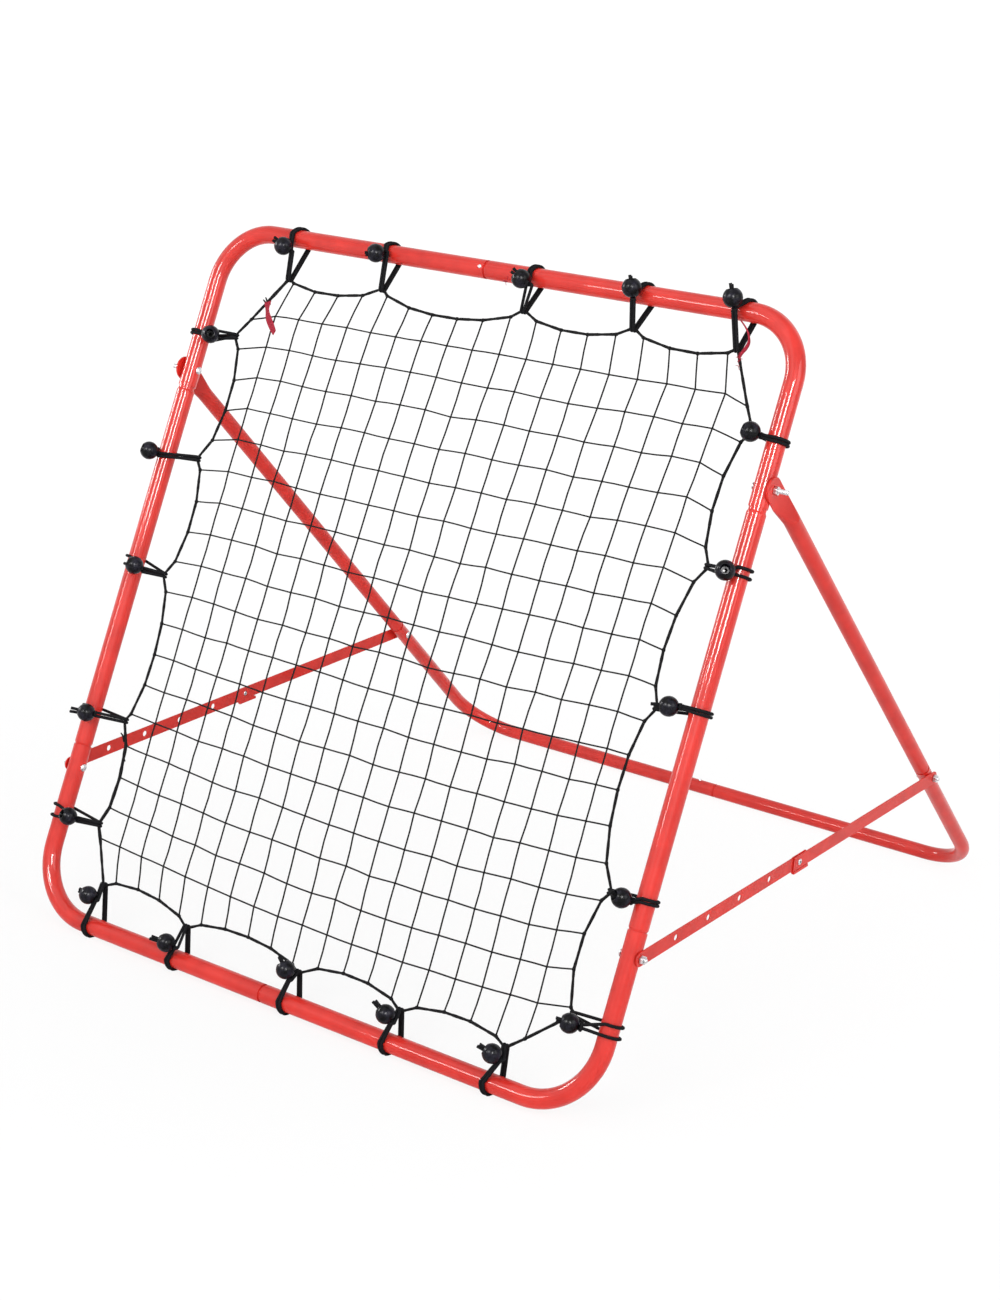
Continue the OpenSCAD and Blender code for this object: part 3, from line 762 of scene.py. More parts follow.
TOGGLES = {
    Side.TOP: [
        Toggle(-340, 57, 17, -346, -345, 19, (-0.35, 0.55, -0.75), drift=14, tail=5),
        Toggle(-177, 49, 26, -182, -183, 8.5, (0.35, 0.6, -0.72), drift=11, tail=2),
        Toggle(57, 45, 19, 59, 58, 11, (-0.45, 0.5, -0.65), drift=7, tail=4, part=2.0),
        Toggle(227, 44, 17, 229, 226, 0, (-0.85, 0.45, -0.15), drift=8),
        Toggle(380, 47.5, 1, 379, 370, -8, (-0.85, 0.4, -0.2), drift=7, tail=5),
    ],
    Side.RIGHT: [
        Toggle(861, 36, 20, 854, 856, 26, (0.75, 0.65, 0.1), tail=0),
        Toggle(686, 43, 20, 688, 684, 4, (-0.45, 0.88, 0.05), spread=10, tail=0, part=2.0),
        Toggle(503, 58, 26, 511, 508, 30, (0.93, 0.25, -0.25), tail=9),
        Toggle(271, 49, 20, 274, 270, 20, (0.5, 0.75, 0.1)),
        Toggle(115, 53, -1, 112, 106, 44, (0.8, 0.5, 0.0), spread=14, tail=5, part=2.2),
    ],
    Side.BOTTOM: [
        Toggle(-358, 58, 18, -361, -361, 42, (0.2, 0.35, -0.92), drift=12),
        Toggle(-197, 44, 20, -203, -203, 20, (0.05, 0.45, -0.9), drift=11, tail=11, part=1.8),
        Toggle(2, 41, 21, -5, -5, 43, (0.75, 0.3, -0.6), drift=12, tail=8),
        Toggle(171, 42, 18, 165, 165, 36, (0.5, 0.2, -0.85), drift=11, tail=11),
        Toggle(334, 47, 1, 324, 331, 38, (0.25, 0.35, -0.9), drift=11, tail=8),
    ],
    Side.LEFT: [
        Toggle(854, 60, 24, 848, 846, 36, (0.54, 0.84, -0.02), tail=0, part=4.0),
        Toggle(672, 56, 22, 670, 665, -9, (-0.55, 0.8, 0.1), tail=0),
        Toggle(500, 56, 22, 507, 502, 22, (-0.6, 0.75, 0.2), spread=12, tail=0, part=1.4),
        Toggle(287, 62, 17, 286, 283, 14, (-0.93, 0.3, -0.1), spread=11, tail=13, part=1.1),
        Toggle(137, 69, 1, 137, 136, 33, (-0.4, 0.85, 0.1), spread=16, tail=0, part=1.3),
    ],
}


@dataclass
class BorderRope:
    """The rope round the net, pulled out at each toggle and bowed in by the strings between. Its
    splices and loose ends are given in millimetres of the plane."""

    plane: FramePlane
    radius: float = 1.95 * MM
    steps: int = 24
    bow_power: float = 0.6
    closest: float = 2.5 * MM
    stitch: float = 9.0 * MM
    splices: tuple[tuple[float, ...], ...] = ((-420, -370, 110, 272), (-375, -338, 912, 955))
    loose_ends: tuple[tuple[float, ...], ...] = (
        (-396, 263, -8, 6),
        (-395, 258, -6, 10),
        (-389, 237, 7, -4),
        (-368, 908, -6, 4),
        (-367, 910, -4, 6),
    )

    def girth(self, index: int, place: Vector) -> float:
        """How thick the rope is at a point: fuller at its splices, uneven elsewhere.

        Args:
            index: The point's number.
            place: The point in the plane.

        Returns:
            The radius there.
        """
        across, up = place / MM
        spliced = any(left < across < right and low < up < high for left, right, low, high in self.splices)
        uneven = 1.0 + 0.09 * math.sin(index * 0.9) + 0.05 * math.sin(index * 2.3)
        return self.radius * uneven * (1.25 if spliced else 1.0)

    def ties(self) -> list[tuple[Vector, float]]:
        """The ties clockwise from the top left.

        Returns:
            Each tie's place in the plane and the depth of the bow that follows it.
        """
        made = []
        for side in Side:
            row = TOGGLES[side]
            bows = [toggle.bow for toggle in row]
            if side in (Side.BOTTOM, Side.LEFT):
                row, bows = row[::-1], bows[-2::-1] + bows[-1:]
            for toggle, bow in zip(row, bows):
                made.append((self.plane.beside(side, toggle.tie_in * MM, toggle.tie * MM), bow * MM))
        return made

    def outline(self) -> list[Vector]:
        """The rope's smooth route in the plane, clockwise from the first tie.

        Returns:
            Its points.
        """
        made = []
        for (here, bow), (there, _) in stretches(self.ties(), True):
            run = (there - here).normalized()
            inward = Vector((run.y, -run.x))
            for step in range(self.steps):
                share = step / self.steps
                depth = bow * (4 * share * (1 - share)) ** self.bow_power
                made.append(here.lerp(there, share) + inward * depth)
        return made

    def build(self, ends: list[Vector]) -> bpy.types.Object:
        """Makes the rope through its ties and the ends of the strings, each tied on with a knot.

        Args:
            ends: Where strings are tied to it, in the plane.

        Returns:
            The piece.
        """
        outline = self.outline()
        marks = [(index * self.steps, tie) for index, (tie, _) in enumerate(self.ties())]
        marks += [(nearest(outline, end), end) for end in ends]
        marks.sort(key=lambda mark: mark[0])
        corners = [mark[1] for mark in marks]
        corners = [
            point for index, point in enumerate(corners) if (point - corners[index - 1]).length > self.closest
        ]
        route = smooth_path(divide_path(corners, True, self.stitch, 2), True, 1)
        maker = CordMaker("border_rope", self.radius, 10)
        radii = [self.girth(index, place) for index, place in enumerate(route)]
        maker.run([self.plane.point(place) for place in route], closed=True, radii=radii)
        for across, up, aside, rise in self.loose_ends:
            root, tip = self.plane.mark(across, up), self.plane.mark(across + aside, up + rise, 2)
            maker.run([root, root.lerp(tip, 0.5), tip], radii=[1.4 * MM, 1.2 * MM, 0.9 * MM])
        for end in ends:
            index = nearest(corners, end)
            run = (corners[(index + 1) % len(corners)] - corners[index - 1]).normalized()
            maker.knob(self.plane.point(end), self.plane.direction(*run), 3.6 * MM, 2.7 * MM)
        return maker.make()


@dataclass
class Net:
    """The square mesh: level and upright strings with a knot at every crossing. Its spans are where
    the outermost strings' lines meet the frame's bars, in millimetres."""

    plane: FramePlane
    rope: BorderRope
    finishes: Finishes
    count: int = 18
    foot_span: tuple[float, float] = (-338, 357)
    top_span: tuple[float, float] = (-330, 369)
    left_span: tuple[float, float] = (119, 881)
    right_span: tuple[float, float] = (122, 890)
    margin: float = 30 * MM
    string_r: float = 1.15 * MM
    slack: float = 1.6 * MM
    wave: float = 0.35 * MM
    pull_scale: tuple[float, float] = (0.35, 0.38)
    pull_across: tuple[float, ...] = (-9.9, 7.4, -2.3, -0.6, 2.8, 7.4, -2.3, 1.7, 5.4, 2.2)
    pull_up: tuple[float, ...] = (-4.2, -1.0, 19.9, 6.8, 2.1, 0.2, 1.1, -6.9, -2.1, -5.3)

    def pull(self, place: Vector) -> Vector:
        """How far the laced net is pulled off an even grid.

        Args:
            place: A point of the even grid, in the plane.

        Returns:
            The pull, in metres: a cubic of the place, with millimetres in its factors.
        """
        x, v = place.x / self.pull_scale[0], (place.y - 0.5) / self.pull_scale[1]
        terms = (1.0, x, v, x * x, x * v, v * v, x**3, x * x * v, x * v * v, v**3)
        rows = (self.pull_across, self.pull_up)
        return Vector([sum(factor * term for factor, term in zip(row, terms)) for row in rows]) * MM

    def edge_point(self, inner: Vector, outer: Vector) -> Vector:
        """Where a string's line meets the rope.

        Args:
            inner: A point of the string inside the net.
            outer: A point of its line outside the net.

        Returns:
            The crossing, in the plane.
        """
        run, best = outer - inner, outer
        for here, there in stretches(self.rope.outline(), True):
            step, gap = there - here, here - inner
            cross = run.cross(step)
            if abs(cross) > 1e-12 and 0 <= gap.cross(run) / cross <= 1 and 0 < gap.cross(step) / cross < 1:
                best = inner + run * (gap.cross(step) / cross)
        return best

    def string_lines(self) -> tuple[list[tuple[Vector, Vector]], list[tuple[Vector, Vector]]]:
        """The strings' lines, each from rope to rope.

        Returns:
            Upright lines from bottom to top, and level lines from left to right.
        """
        uprights, levels = [], []
        edge = self.plane.side_x - self.margin
        for index in range(self.count):
            share = index / (self.count - 1)
            foot = Vector((between(*self.foot_span, share) * MM, 0.0))
            top = Vector((between(*self.top_span, share) * MM, self.plane.height))
            left = Vector((-edge, between(*self.left_span, share) * MM))
            right = Vector((edge, between(*self.right_span, share) * MM))
            for lines, start, stop in ((uprights, foot, top), (levels, left, right)):
                middle = (start + stop) / 2
                lines.append((self.edge_point(middle, start), self.edge_point(middle, stop)))
        return uprights, levels

    def build(self) -> None:
        """Makes the strings, their knots and the rope."""
        chance = random.Random(7)
        uprights, levels = self.string_lines()
        knots = {}
        outer = (0, self.count - 1)
        for column, (foot, top) in enumerate(uprights):
            for row, (left, right) in enumerate(levels):
                run, step = top - foot, right - left
                place = foot + run * ((left - foot).cross(step) / run.cross(step))
                stray = self.slack * (0.4 if column in outer or row in outer else 1.0)
                nudge = Vector((chance.uniform(-stray, stray), chance.uniform(-stray, stray)))
                knots[column, row] = place + self.pull(place) + nudge
        maker = CordMaker("net_strings", self.string_r, 6)
        numbers = range(self.count)
        for column, (foot, top) in enumerate(uprights):
            self.add_string(maker, [foot, *(knots[column, row] for row in numbers), top], chance)
        for row, (left, right) in enumerate(levels):
            self.add_string(maker, [left, *(knots[column, row] for column in numbers), right], chance)
        for (column, row), place in knots.items():
            axis = self.plane.direction(1, 1 if (column + row) % 2 else -1)
            maker.knob(self.plane.point(place), axis, 1.9 * MM, 1.35 * MM)
        finish_piece(maker.make(), self.finishes.string, "net_mesh")
        rope = self.rope.build([end for line in uprights + levels for end in line])
        finish_piece(rope, self.finishes.rope, "net_border_rope")

    def add_string(self, maker: CordMaker, corners: list[Vector], chance: random.Random) -> None:
        """Adds one string through its knots, with a small wave between them.

        Args:
            maker: The mesh that it joins.
            corners: The knots and ends that it passes, in the plane.
            chance: The source of the waves.
        """
        path = []
        for here, there in stretches(corners, False):
            run = (there - here).normalized()
            aside = Vector((-run.y, run.x)) * chance.uniform(-self.wave, self.wave)
            out = chance.uniform(-1, 1) * MM
            path += [self.plane.point(here), self.plane.point((here + there) / 2 + aside, out)]
        maker.run([*path, self.plane.point(corners[-1])])


@dataclass
class Toggles:
    """The ball toggles: a doubled elastic cord round tube and rope, hooked over a ball. Places at a
    toggle are distances to the net, to the front and along its bar."""

    plane: FramePlane
    finishes: Finishes
    ball_r: float = 12.8 * MM
    cord_r: float = 2.1 * MM
    fit: float = 0.3 * MM
    rope_r: float = 1.5 * MM
    seam: float = 0.12 * MM
    stitch: float = 4.0 * MM

    def __post_init__(self) -> None:
        """Works out how far the cord's middle runs from the tube's axis and from the rope's."""
        self.wrap_r = self.plane.tube_r + self.fit + self.cord_r
        self.tie_r = self.rope_r + self.fit + self.cord_r

    def ball_template(self) -> bpy.types.Object:
        """Makes one ball: flat at its neck and at its wide mouth, with a rim round the deep bore.

        Returns:
            The ball, with its mouth to +Z.
        """
        radius, bore, mouth, neck = self.ball_r, self.cord_r * 1.4, self.ball_r * 0.5, self.ball_r * 0.4
        low, high = math.asin(neck / radius), math.asin(mouth * 1.18 / radius)
        floor, rim, base = -radius * 0.25, radius * math.cos(high), -radius * math.cos(low)
        profile = [(bore, floor), (bore, base), (neck, base)]
        steps = 22
        for index in range(steps + 1):
            angle = between(low - math.pi / 2, math.pi / 2 - high, index / steps)
            reach = radius + (self.seam if index == steps // 2 else 0.0)
            profile.append((reach * math.cos(angle), reach * math.sin(angle)))
        profile += [(mouth * 1.12, rim + 0.5 * MM), (mouth, rim + 0.3 * MM)]
        profile += [(mouth * 0.92, rim - 0.6 * MM), (mouth * 0.8, floor)]
        return lathe("ball_template", profile, 28, ring=True)

    def seat(self, toggle: Toggle) -> tuple[Vector, Vector]:
        """Seats a ball on its cord.

        Args:
            toggle: The toggle.

        Returns:
            The ball's middle and the direction of its mouth.
        """
        lean = math.asin((self.wrap_r - self.tie_r) / (toggle.tie_in * MM))
        reach = self.wrap_r + self.cord_r + self.fit + self.ball_r
        inside = toggle.ball_in * MM
        bend = reach * math.sin(lean)
        if inside < bend:
            out = math.sqrt(reach * reach - inside * inside)
        else:
            out = reach * math.cos(lean) - (inside - bend) * math.tan(lean)
        return Vector((inside, out, toggle.ball * MM)), Vector(toggle.away).normalized()

    def strand(self, toggle: Toggle, hand: int) -> list[Vector]:
        """One strand from the ball round the tube and the rope, back to the ball's neck.

        Args:
            toggle: The toggle.
            hand: 1 or -1 for the two strands.

        Returns:
            Its places.
        """
        gap = toggle.tie_in * MM
        ball, away = self.seat(toggle)
        half = self.cord_r * 1.02
        leave = ball - away * self.ball_r
        leave.z += hand * half * 0.7
        neck = ball - away * (self.ball_r + self.cord_r * 0.9)
        neck.z += hand * self.cord_r * (0.05 + toggle.part)
        wrap_at = toggle.wrap * MM + hand * toggle.spread * MM / 2
        lean = math.asin((self.wrap_r - self.tie_r) / gap)
        tangent = math.acos(min(0.99, self.wrap_r / math.hypot(leave.x, leave.y)))
        start = math.atan2(leave.y, leave.x) + tangent
        path = [leave]
        wrap_steps, tie_steps = 16, 8
        for index in range(wrap_steps + 1):
            angle = between(start, 1.5 * math.pi + lean, index / wrap_steps)
            place = wrap_at + toggle.drift * MM * index / wrap_steps
            path.append(Vector((self.wrap_r * math.cos(angle), self.wrap_r * math.sin(angle), place)))
        flat = Vector((neck.x - gap, neck.y))
        leave_tie = math.atan2(flat.y, flat.x) - math.acos(min(0.99, self.tie_r / max(flat.length, 1e-6)))
        tie_at = toggle.tie * MM + hand * half
        for index in range(tie_steps + 1):
            angle = between(lean - math.pi / 2, leave_tie, index / tie_steps)
            path.append(Vector((gap + self.tie_r * math.cos(angle), self.tie_r * math.sin(angle), tie_at)))
        return [*path, neck]

    def cord_path(self, toggle: Toggle) -> list[Vector]:
        """The doubled cord: out along one strand, a bight round the ball's neck, back along the other.

        Args:
            toggle: The toggle.

        Returns:
            Its places.
        """
        out, back = self.strand(toggle, 1), self.strand(toggle, -1)
        away = self.seat(toggle)[1]
        middle, across = (out[-1] + back[-1]) / 2, out[-1] - back[-1]
        side = across.normalized()
        approach = (middle - out[-2]).normalized()
        far = approach - away * approach.dot(away) - side * approach.dot(side)
        far = far.normalized() if far.length > 1e-3 else away.cross(side)
        turns = [math.pi * index / 10 for index in range(1, 10)]
        half = across.length / 2
        bight = [middle + (side * math.cos(turn) + far * math.sin(turn)) * half for turn in turns]
        return out + bight + back[::-1]

    def tails(self, toggle: Toggle) -> list[list[Vector]]:
        """The cord's two ends in the ball's mouth.

        Args:
            toggle: The toggle.

        Returns:
            The places of each end that shows.
        """
        ball, away = self.seat(toggle)
        made = []
        for hand, share in ((1, 1.0), (-1, 0.75)) if toggle.tail else ():
            side = away.orthogonal().normalized() * hand
            root = ball + away * self.ball_r * 0.3 + side * self.cord_r * 0.9
            tip = ball + away * (self.ball_r + toggle.tail * MM * share) + side * self.cord_r * 1.7
            made.append([root, root.lerp(tip, 0.5) + side * 0.4 * MM, tip])
        return made

    def build_side(self, side: Side, template: bpy.types.Object) -> None:
        """Makes one side's balls and cords. Those under the bottom bar are pressed flat on the floor.

        Args:
            side: The side.
            template: The ball that is copied.
        """

        def world(spot: Vector) -> Vector:
            """Turns a place at a toggle into one of the room."""
            return self.plane.point(self.plane.beside(side, spot.x, spot.z), spot.y)

        places = []
        maker = CordMaker(f"{side.value}_bungee_cords", self.cord_r, 12)
        for toggle in TOGGLES[side]:
            path = smooth_path(divide_path(self.cord_path(toggle), False, self.stitch, 1), False, 1)
            placed = [world(spot) for spot in path]
            if side is Side.BOTTOM:
                placed = [Vector((place.x, place.y, max(place.z, self.cord_r * 0.35))) for place in placed]
            maker.run(placed)
            for tail in self.tails(toggle):
                maker.run([world(spot) for spot in tail])
            ball, away = self.seat(toggle)
            places.append(aim(world(away) - world(Vector((0, 0, 0))), world(ball)))
        balls = join_copies(f"{side.value}_balls_dressed", template, places)
        finish_piece(balls, self.finishes.ball, f"{side.value}_toggle_balls")
        cords = maker.make()
        if side is Side.BOTTOM:
            for vertex in cords.data.vertices:
                vertex.co.z = max(vertex.co.z, 0.0)
        finish_piece(cords, self.finishes.elastic, f"{side.value}_bungee_loops")

    def build(self) -> None:
        """Makes every side's toggles."""
        template = self.ball_template()
        for side in Side:
            self.build_side(side, template)
        bpy.data.objects.remove(template)


@dataclass
class Markers:
    """The red ribbon at the top left and the red thread at the top right. Their routes run across,
    up and out of the plane, in millimetres."""

    plane: FramePlane
    finishes: Finishes
    ribbon_w: float = 10.0 * MM
    ribbon_t: float = 0.5 * MM
    thread_r: float = 0.8 * MM
    hair_r: float = 0.35 * MM

    def route(self, *stops: tuple[float, float, float]) -> list[Vector]:
        """Places a smooth route through its stops."""
        return smooth_path([self.plane.mark(*stop) for stop in stops], False, 2)

    def build_ribbon(self) -> None:
        """Makes the ribbon: a turn round the rope and a hanging tail."""
        turn = (-365, 907, -3), (-366, 911, 1), (-363, 909, 4), (-361, 905, 5)
        path = self.route(*turn, (-358, 897, 6), (-354, 889, 6), (-346, 879, 5), (-335, 868, 5))
        points, faces = [], []
        face_on = self.plane.direction(0.96, 0.18, 0.21)
        for index, place in enumerate(path):
            before, after = path[max(0, index - 1)], path[min(len(path) - 1, index + 1)]
            run = (after - before).normalized()
            side = (face_on - run * face_on.dot(run)).normalized()
            side = (side + run.cross(side) * 0.25 * math.sin(index * 0.45)).normalized()
            half = self.ribbon_w / 2 * (0.45 + 0.55 * min(1.0, index / 7))
            points += [place - side * half, place + side * half]
            if index:
                base = 2 * index
                faces.append((base - 2, base - 1, base + 1, base))
        lay = [(corner // 2 * 2 * MM, corner % 2 * self.ribbon_w) for face in faces for corner in face]
        piece = build_piece("ribbon_tail", points, [], faces, lay)
        apply_modifier(piece, "SOLIDIFY", thickness=self.ribbon_t, offset=0.0)
        smooth(50)
        finish_piece(piece, self.finishes.ribbon, "marker_ribbon")

    def add_hairs(self, maker: CordMaker, root: Vector, stop: Vector, count: int, length: float) -> None:
        """Adds loose hairs of red yarn that stick out of a cord.

        Args:
            maker: The mesh that they join.
            root: Where the first hair starts.
            stop: Where their row ends.
            count: How many there are.
            length: Their mean length.
        """
        chance = random.Random(count)
        for index in range(count):
            start = root.lerp(stop, index / count)
            drift = Vector([chance.uniform(-1, 1) for _ in range(3)]).normalized()
            reach = length * chance.uniform(0.6, 1.4)
            bend = Vector([chance.uniform(-1, 1) for _ in range(3)]) * reach * 0.3
            hair = [start, start + drift * reach / 2 + bend, start + drift * reach]
            maker.run(hair, radii=[self.hair_r] * 3)

    def build_thread(self) -> None:
        """Makes the thread from cord to rope, with loose yarn at its foot and by the top's middle ball."""
        loop = (379, 992, 12), (386, 986, 9), (391, 980, 7), (395, 973, 6), (396, 966, 5)
        path = self.route(*loop, (393, 959, 4), (389, 953, 3), (387, 946, 2))
        girth = (0.9, 1.2, 1.3, 1.5, 2.6, 3.0, 2.2, 1.2)
        radii = []
        for index in range(len(path)):
            share = index / (len(path) - 1) * (len(girth) - 1)
            low = min(int(share), len(girth) - 2)
            radii.append(between(girth[low], girth[low + 1], share - low) * 0.85 * MM)
        maker = CordMaker("marker_loop", self.thread_r, 8)
        maker.run(path, radii=radii)
        mark = self.plane.mark
        self.add_hairs(maker, mark(386, 954, 2), mark(390, 932, 2), 18, 4.0 * MM)
        self.add_hairs(maker, mark(33, 987, 30), mark(40, 989, 30), 6, 6.0 * MM)
        finish_piece(maker.make(), self.finishes.ribbon, "marker_thread")


# Steel parts ---------------------------------------------------------------------------------


@dataclass
class TubeWork:
    """The coated tubes, legs and bars, as packed, with the bars' sharp edges broken."""

    finishes: Finishes
    edge: float = 0.35 * MM

    def build(self) -> None:
        """Coats the tubes and dresses the legs and the strut bars."""
        for name, node in frame["nodes"].items():
            if name.endswith(("corner_tube", "side_tube")):
                node.data.materials.clear()
                node.data.materials.append(self.finishes.coat)
                activate(node)
                smooth(35)
                log.info("%s: coated", name)
            elif name.endswith(("leg_tube", "_bar")):
                width = self.edge if name.endswith("_bar") else 0.0
                finish_piece(rounded_copy(name, width), self.finishes.bar_coat, name)


@dataclass
class Fasteners:
    """Bolts with threads, nuts, screws and lock pins."""

    finishes: Finishes
    pitch: float = 1.0 * MM
    edge: float = 0.3 * MM
    bolt_r: float = 3.0 * MM
    head_h: float = 3.3 * MM
    root_r: float = 2.68 * MM
    thread_l: float = 26 * MM
    pin_r: float = 3.7 * MM
    pin_head: float = 1.5 * MM
    bore_r: float = 1.4 * MM
    bore_l: float = 1.6 * MM
    nose: float = 1.9 * MM

    def bolt(self, node: str) -> None:
        """Makes a pair of bolts: domed head, shank and cut thread, one for each side.

        Args:
            node: The node of both bolts.
        """
        low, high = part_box(node)
        head_r, middle = (high.z - low.z) / 2, (low + high) / 2
        start = min(abs(vertex.co.x) for vertex in frame["nodes"][node].data.vertices) + self.head_h
        profile = [(0.0, -self.head_h)]
        for index in range(1, 8):
            angle = math.pi / 2 * index / 8
            profile.append((head_r * math.sin(angle), -self.head_h * math.cos(angle) ** 0.9))
        profile += [(head_r, -0.4 * MM), (head_r - 0.3 * MM, 0.0), (self.bolt_r, 0.0)]
        length = high.x - start
        place = length - min(length * 0.6, self.thread_l)
        profile.append((self.bolt_r, place))
        ridge = (self.root_r, 0.35), (self.root_r, 0.5), (self.bolt_r, 0.9), (self.bolt_r, 1.0)
        while place + self.pitch < length - 0.5 * MM:
            profile += [(radius, place + self.pitch * share) for radius, share in ridge]
            place += self.pitch
        profile += [(self.bolt_r * 0.8, length), (0.0, length)]
        template = lathe("bolt_template", profile, 24)
        right = Matrix.Translation((start, middle.y, middle.z)) @ Matrix.Rotation(math.pi / 2, 4, "Y")
        left = Matrix.Scale(-1, 4, (1, 0, 0)) @ right
        pair = join_copies(node + "_dressed", template, [right, left])
        bpy.data.objects.remove(template)
        finish_piece(pair, self.finishes.plate, node)

    def pin(self, node: str) -> None:
        """Makes a lock pin: a bored eyelet, domed at its head and chamfered at its nose, with painted shade
        in its bore.

        Args:
            node: Its node.
        """
        low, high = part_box(node)
        middle, head_r = (low + high) / 2, (high.z - low.z) / 2
        length = high.x - low.x + self.nose
        collar = length - self.pin_head
        profile = [(0.0, self.bore_l), (self.bore_r, self.bore_l), (self.bore_r, 0.0), (2.7 * MM, 0.0)]
        profile += [(self.pin_r, 1.0 * MM), (self.pin_r, collar), (head_r, collar)]
        profile += [(head_r, length - 1.0 * MM), (head_r * 0.85, length - 0.3 * MM), (head_r * 0.6, length)]
        profile += [(self.bore_r, length - 0.2 * MM), (self.bore_r, length - self.bore_l)]
        profile.append((0.0, length - self.bore_l))
        hand = 1 if middle.x > 0 else -1
        start = Vector(((min(abs(low.x), abs(high.x)) - self.nose) * hand, middle.y, middle.z))
        template = lathe("pin_template", profile, 24)
        piece = copy_mesh(template, node + "_dressed", aim(Vector((hand, 0, 0)), start))
        bpy.data.objects.remove(template)
        finish_piece(piece, self.finishes.plate, node)
        # Painted shade: the faces inside the bore take the dark finish, standing in for the shade in the
        # recess.
        piece.data.materials.append(self.finishes.bore)
        for face in piece.data.polygons:
            face.material_index = int((face.center - middle).yz.length < self.bore_r)

    def build(self) -> None:
        """Makes every fastener."""
        for node in frame["nodes"]:
            if node.endswith("_pin"):
                self.pin(node)
            elif node.endswith("_bolts"):
                self.bolt(node)
            elif node.endswith(("_nuts", "_screw")):
                finish_piece(rounded_copy(node, self.edge), self.finishes.plate, node)


# Studio --------------------------------------------------------------------------------------


class Glow(Enum):
    """What a lamp does: lights surfaces evenly, is mirrored in gloss, or both."""

    SOFT = "soft"
    LIGHTS = "lights"
    MIRRORED = "mirrored"


@dataclass(frozen=True)
class Lamp:
    """A soft rectangular lamp, with its power in watts, that points at the rebounder's middle."""

    name: str
    place: tuple[float, float, float]
    width: float
    height: float
    power: float
    glow: Glow

    def build(self) -> None:
        """Adds the lamp."""
        bpy.ops.object.light_add(type="AREA", location=self.place)
        lamp = bpy.context.object
        lamp.name = self.name
        lamp.data.shape = "RECTANGLE"
        lamp.data.size, lamp.data.size_y = self.width, self.height
        lamp.data.energy = self.power
        aimed = Vector((0, 0.4, 0.45)) - Vector(self.place)
        lamp.rotation_euler = aimed.to_track_quat("-Z", "Y").to_euler()
        lamp.visible_diffuse = self.glow is not Glow.MIRRORED
        lamp.visible_glossy = self.glow is not Glow.LIGHTS


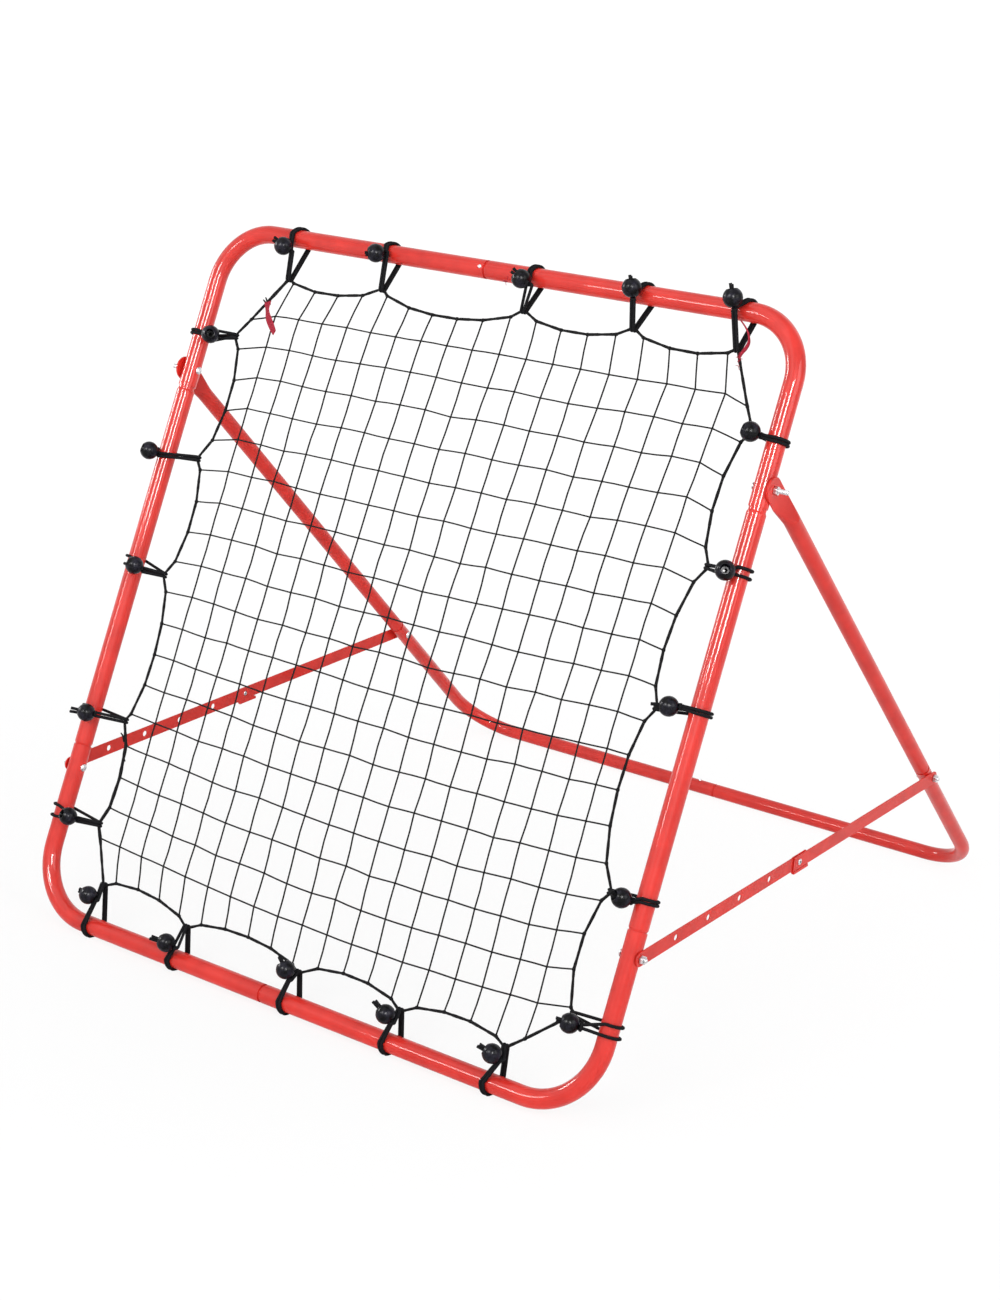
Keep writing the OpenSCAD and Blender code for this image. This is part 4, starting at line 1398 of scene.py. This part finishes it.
@dataclass
class Studio:
    """The camera, the floor and the light. A box lamp is given by its turn round the rebounder, its
    height, its width, how tall it is and its power."""

    place: tuple[float, float, float] = (1.7539, -2.1366, 1.3855)
    turn: float = 34.1965
    dip: float = 17.4923
    roll: float = 3.5361
    lens: float = 63.92
    lamps: tuple[Lamp, ...] = (
        Lamp("top", (-0.6, -0.8, 3.6), 2.4, 2.4, 18.0, Glow.SOFT),
        Lamp("back", (0.6, 3.6, 3.0), 2.6, 2.6, 12.0, Glow.SOFT),
        Lamp("right", (4.4, -0.2, 2.5), 2.5, 2.5, 88.0, Glow.SOFT),
        Lamp("front", (0.3, -3.1, 2.1), 2.4, 1.4, 70.0, Glow.LIGHTS),
    )
    boxes: tuple[tuple[float, ...], ...] = (
        (-9.0, 2.5, 0.75, 0.85, 115.0),
        (-28.0, 1.65, 0.5, 0.5, 22.0),
        (42.0, 2.2, 0.75, 0.95, 150.0),
        (-75.0, 1.5, 0.6, 0.8, 60.0),
    )
    box_reach: float = 3.3
    ambient: float = 0.36
    floor_rise: float = 0.26
    floor_thin: float = 0.85

    def build(self) -> None:
        """Sets up the view, the backdrop and the lamps."""
        self.add_camera()
        self.add_floor()
        self.add_world()
        for lamp in self.lamps:
            lamp.build()
        for index, (turn, height, *size) in enumerate(self.boxes):
            angle = math.radians(turn)
            place = (self.box_reach * math.sin(angle), 0.2 - self.box_reach * math.cos(angle), height)
            Lamp(f"box_{index}", place, *size, Glow.MIRRORED).build()
        bpy.context.scene.view_settings.view_transform = "Standard"

    def add_camera(self) -> None:
        """Adds the camera, turned, dipped and rolled."""
        turn, tilt, roll = (math.radians(angle) for angle in (self.turn, 90 - self.dip, self.roll))
        pose = Matrix.Rotation(turn, 4, "Z") @ Matrix.Rotation(tilt, 4, "X") @ Matrix.Rotation(roll, 4, "Z")
        bpy.ops.object.camera_add()
        camera = bpy.context.object
        camera.matrix_world = Matrix.Translation(self.place) @ pose
        camera.data.lens = self.lens
        camera.data.sensor_width = 36.0
        camera.data.sensor_fit = "AUTO"
        bpy.context.scene.camera = camera

    def add_floor(self) -> None:
        """Adds the pale floor, which looks white and takes a shadow. It is thin, so a stand that
        folds below it still shows."""
        bpy.ops.mesh.primitive_plane_add(size=400, location=(0, 0, -0.5 * MM))
        floor = bpy.context.object
        floor.name = "floor"
        sketch = NodeSketch(bpy.data.materials.new("floor_white"))
        white = (1.0, 1.0, 1.0, 1.0)
        sketch.set({"Base Color": (0.93, 0.93, 0.93, 1.0), "Emission Color": white})
        sketch.set({"Roughness": 0.9, "Specular IOR Level": 0.1})
        place = sketch.add("TexCoord")["Object"]
        spread = sketch.add("VectorMath", {0: place}, operation="LENGTH")["Value"]
        level = sketch.math("MULTIPLY", spread, self.floor_rise, clamp=True)
        thin = sketch.math("MULTIPLY", sketch.add("LightPath")["Is Camera Ray"], self.floor_thin)
        clear = sketch.math("MAXIMUM", thin, sketch.add("NewGeometry")["Backfacing"])
        sketch.set({"Emission Strength": sketch.math("MULTIPLY", self.seen_rays(sketch), level)})
        sketch.set({"Alpha": sketch.math("SUBTRACT", 1.0, clear)})
        floor.data.materials.append(sketch.material)

    def seen_rays(self, sketch: NodeSketch) -> Socket:
        """Picks the rays that see a backdrop: from the camera, off gloss and through glass.

        Args:
            sketch: The node tree that asks.

        Returns:
            A socket that is 1 on those rays and 0 on the others.
        """
        paths = sketch.add("LightPath")
        seen = sketch.math("MAXIMUM", paths["Is Camera Ray"], paths["Is Glossy Ray"])
        return sketch.math("MAXIMUM", seen, paths["Is Transmission Ray"])

    def add_world(self) -> None:
        """Adds the even surround: white where it is seen, softer where it lights."""
        world = bpy.data.worlds.new("surround")
        bpy.context.scene.world = world
        sketch = NodeSketch(world, "Background")
        level = sketch.math("MULTIPLY_ADD", self.seen_rays(sketch), 1.0 - self.ambient, self.ambient)
        sketch.set({"Color": (1.0, 1.0, 1.0, 1.0), "Strength": level})


def main() -> None:
    """Builds the rebounder's looks and reports each piece."""
    logging.basicConfig(level=logging.INFO, format="%(message)s")
    finishes = Finishes()
    plane = FramePlane()
    log.info("plane: lean %.2f degrees, height %.4f m", math.degrees(plane.lean), plane.height)
    Studio().build()
    TubeWork(finishes).build()
    Fasteners(finishes).build()
    Net(plane, BorderRope(plane), finishes).build()
    Toggles(plane, finishes).build()
    markers = Markers(plane, finishes)
    markers.build_ribbon()
    markers.build_thread()


if __name__ == "__main__":
    main()
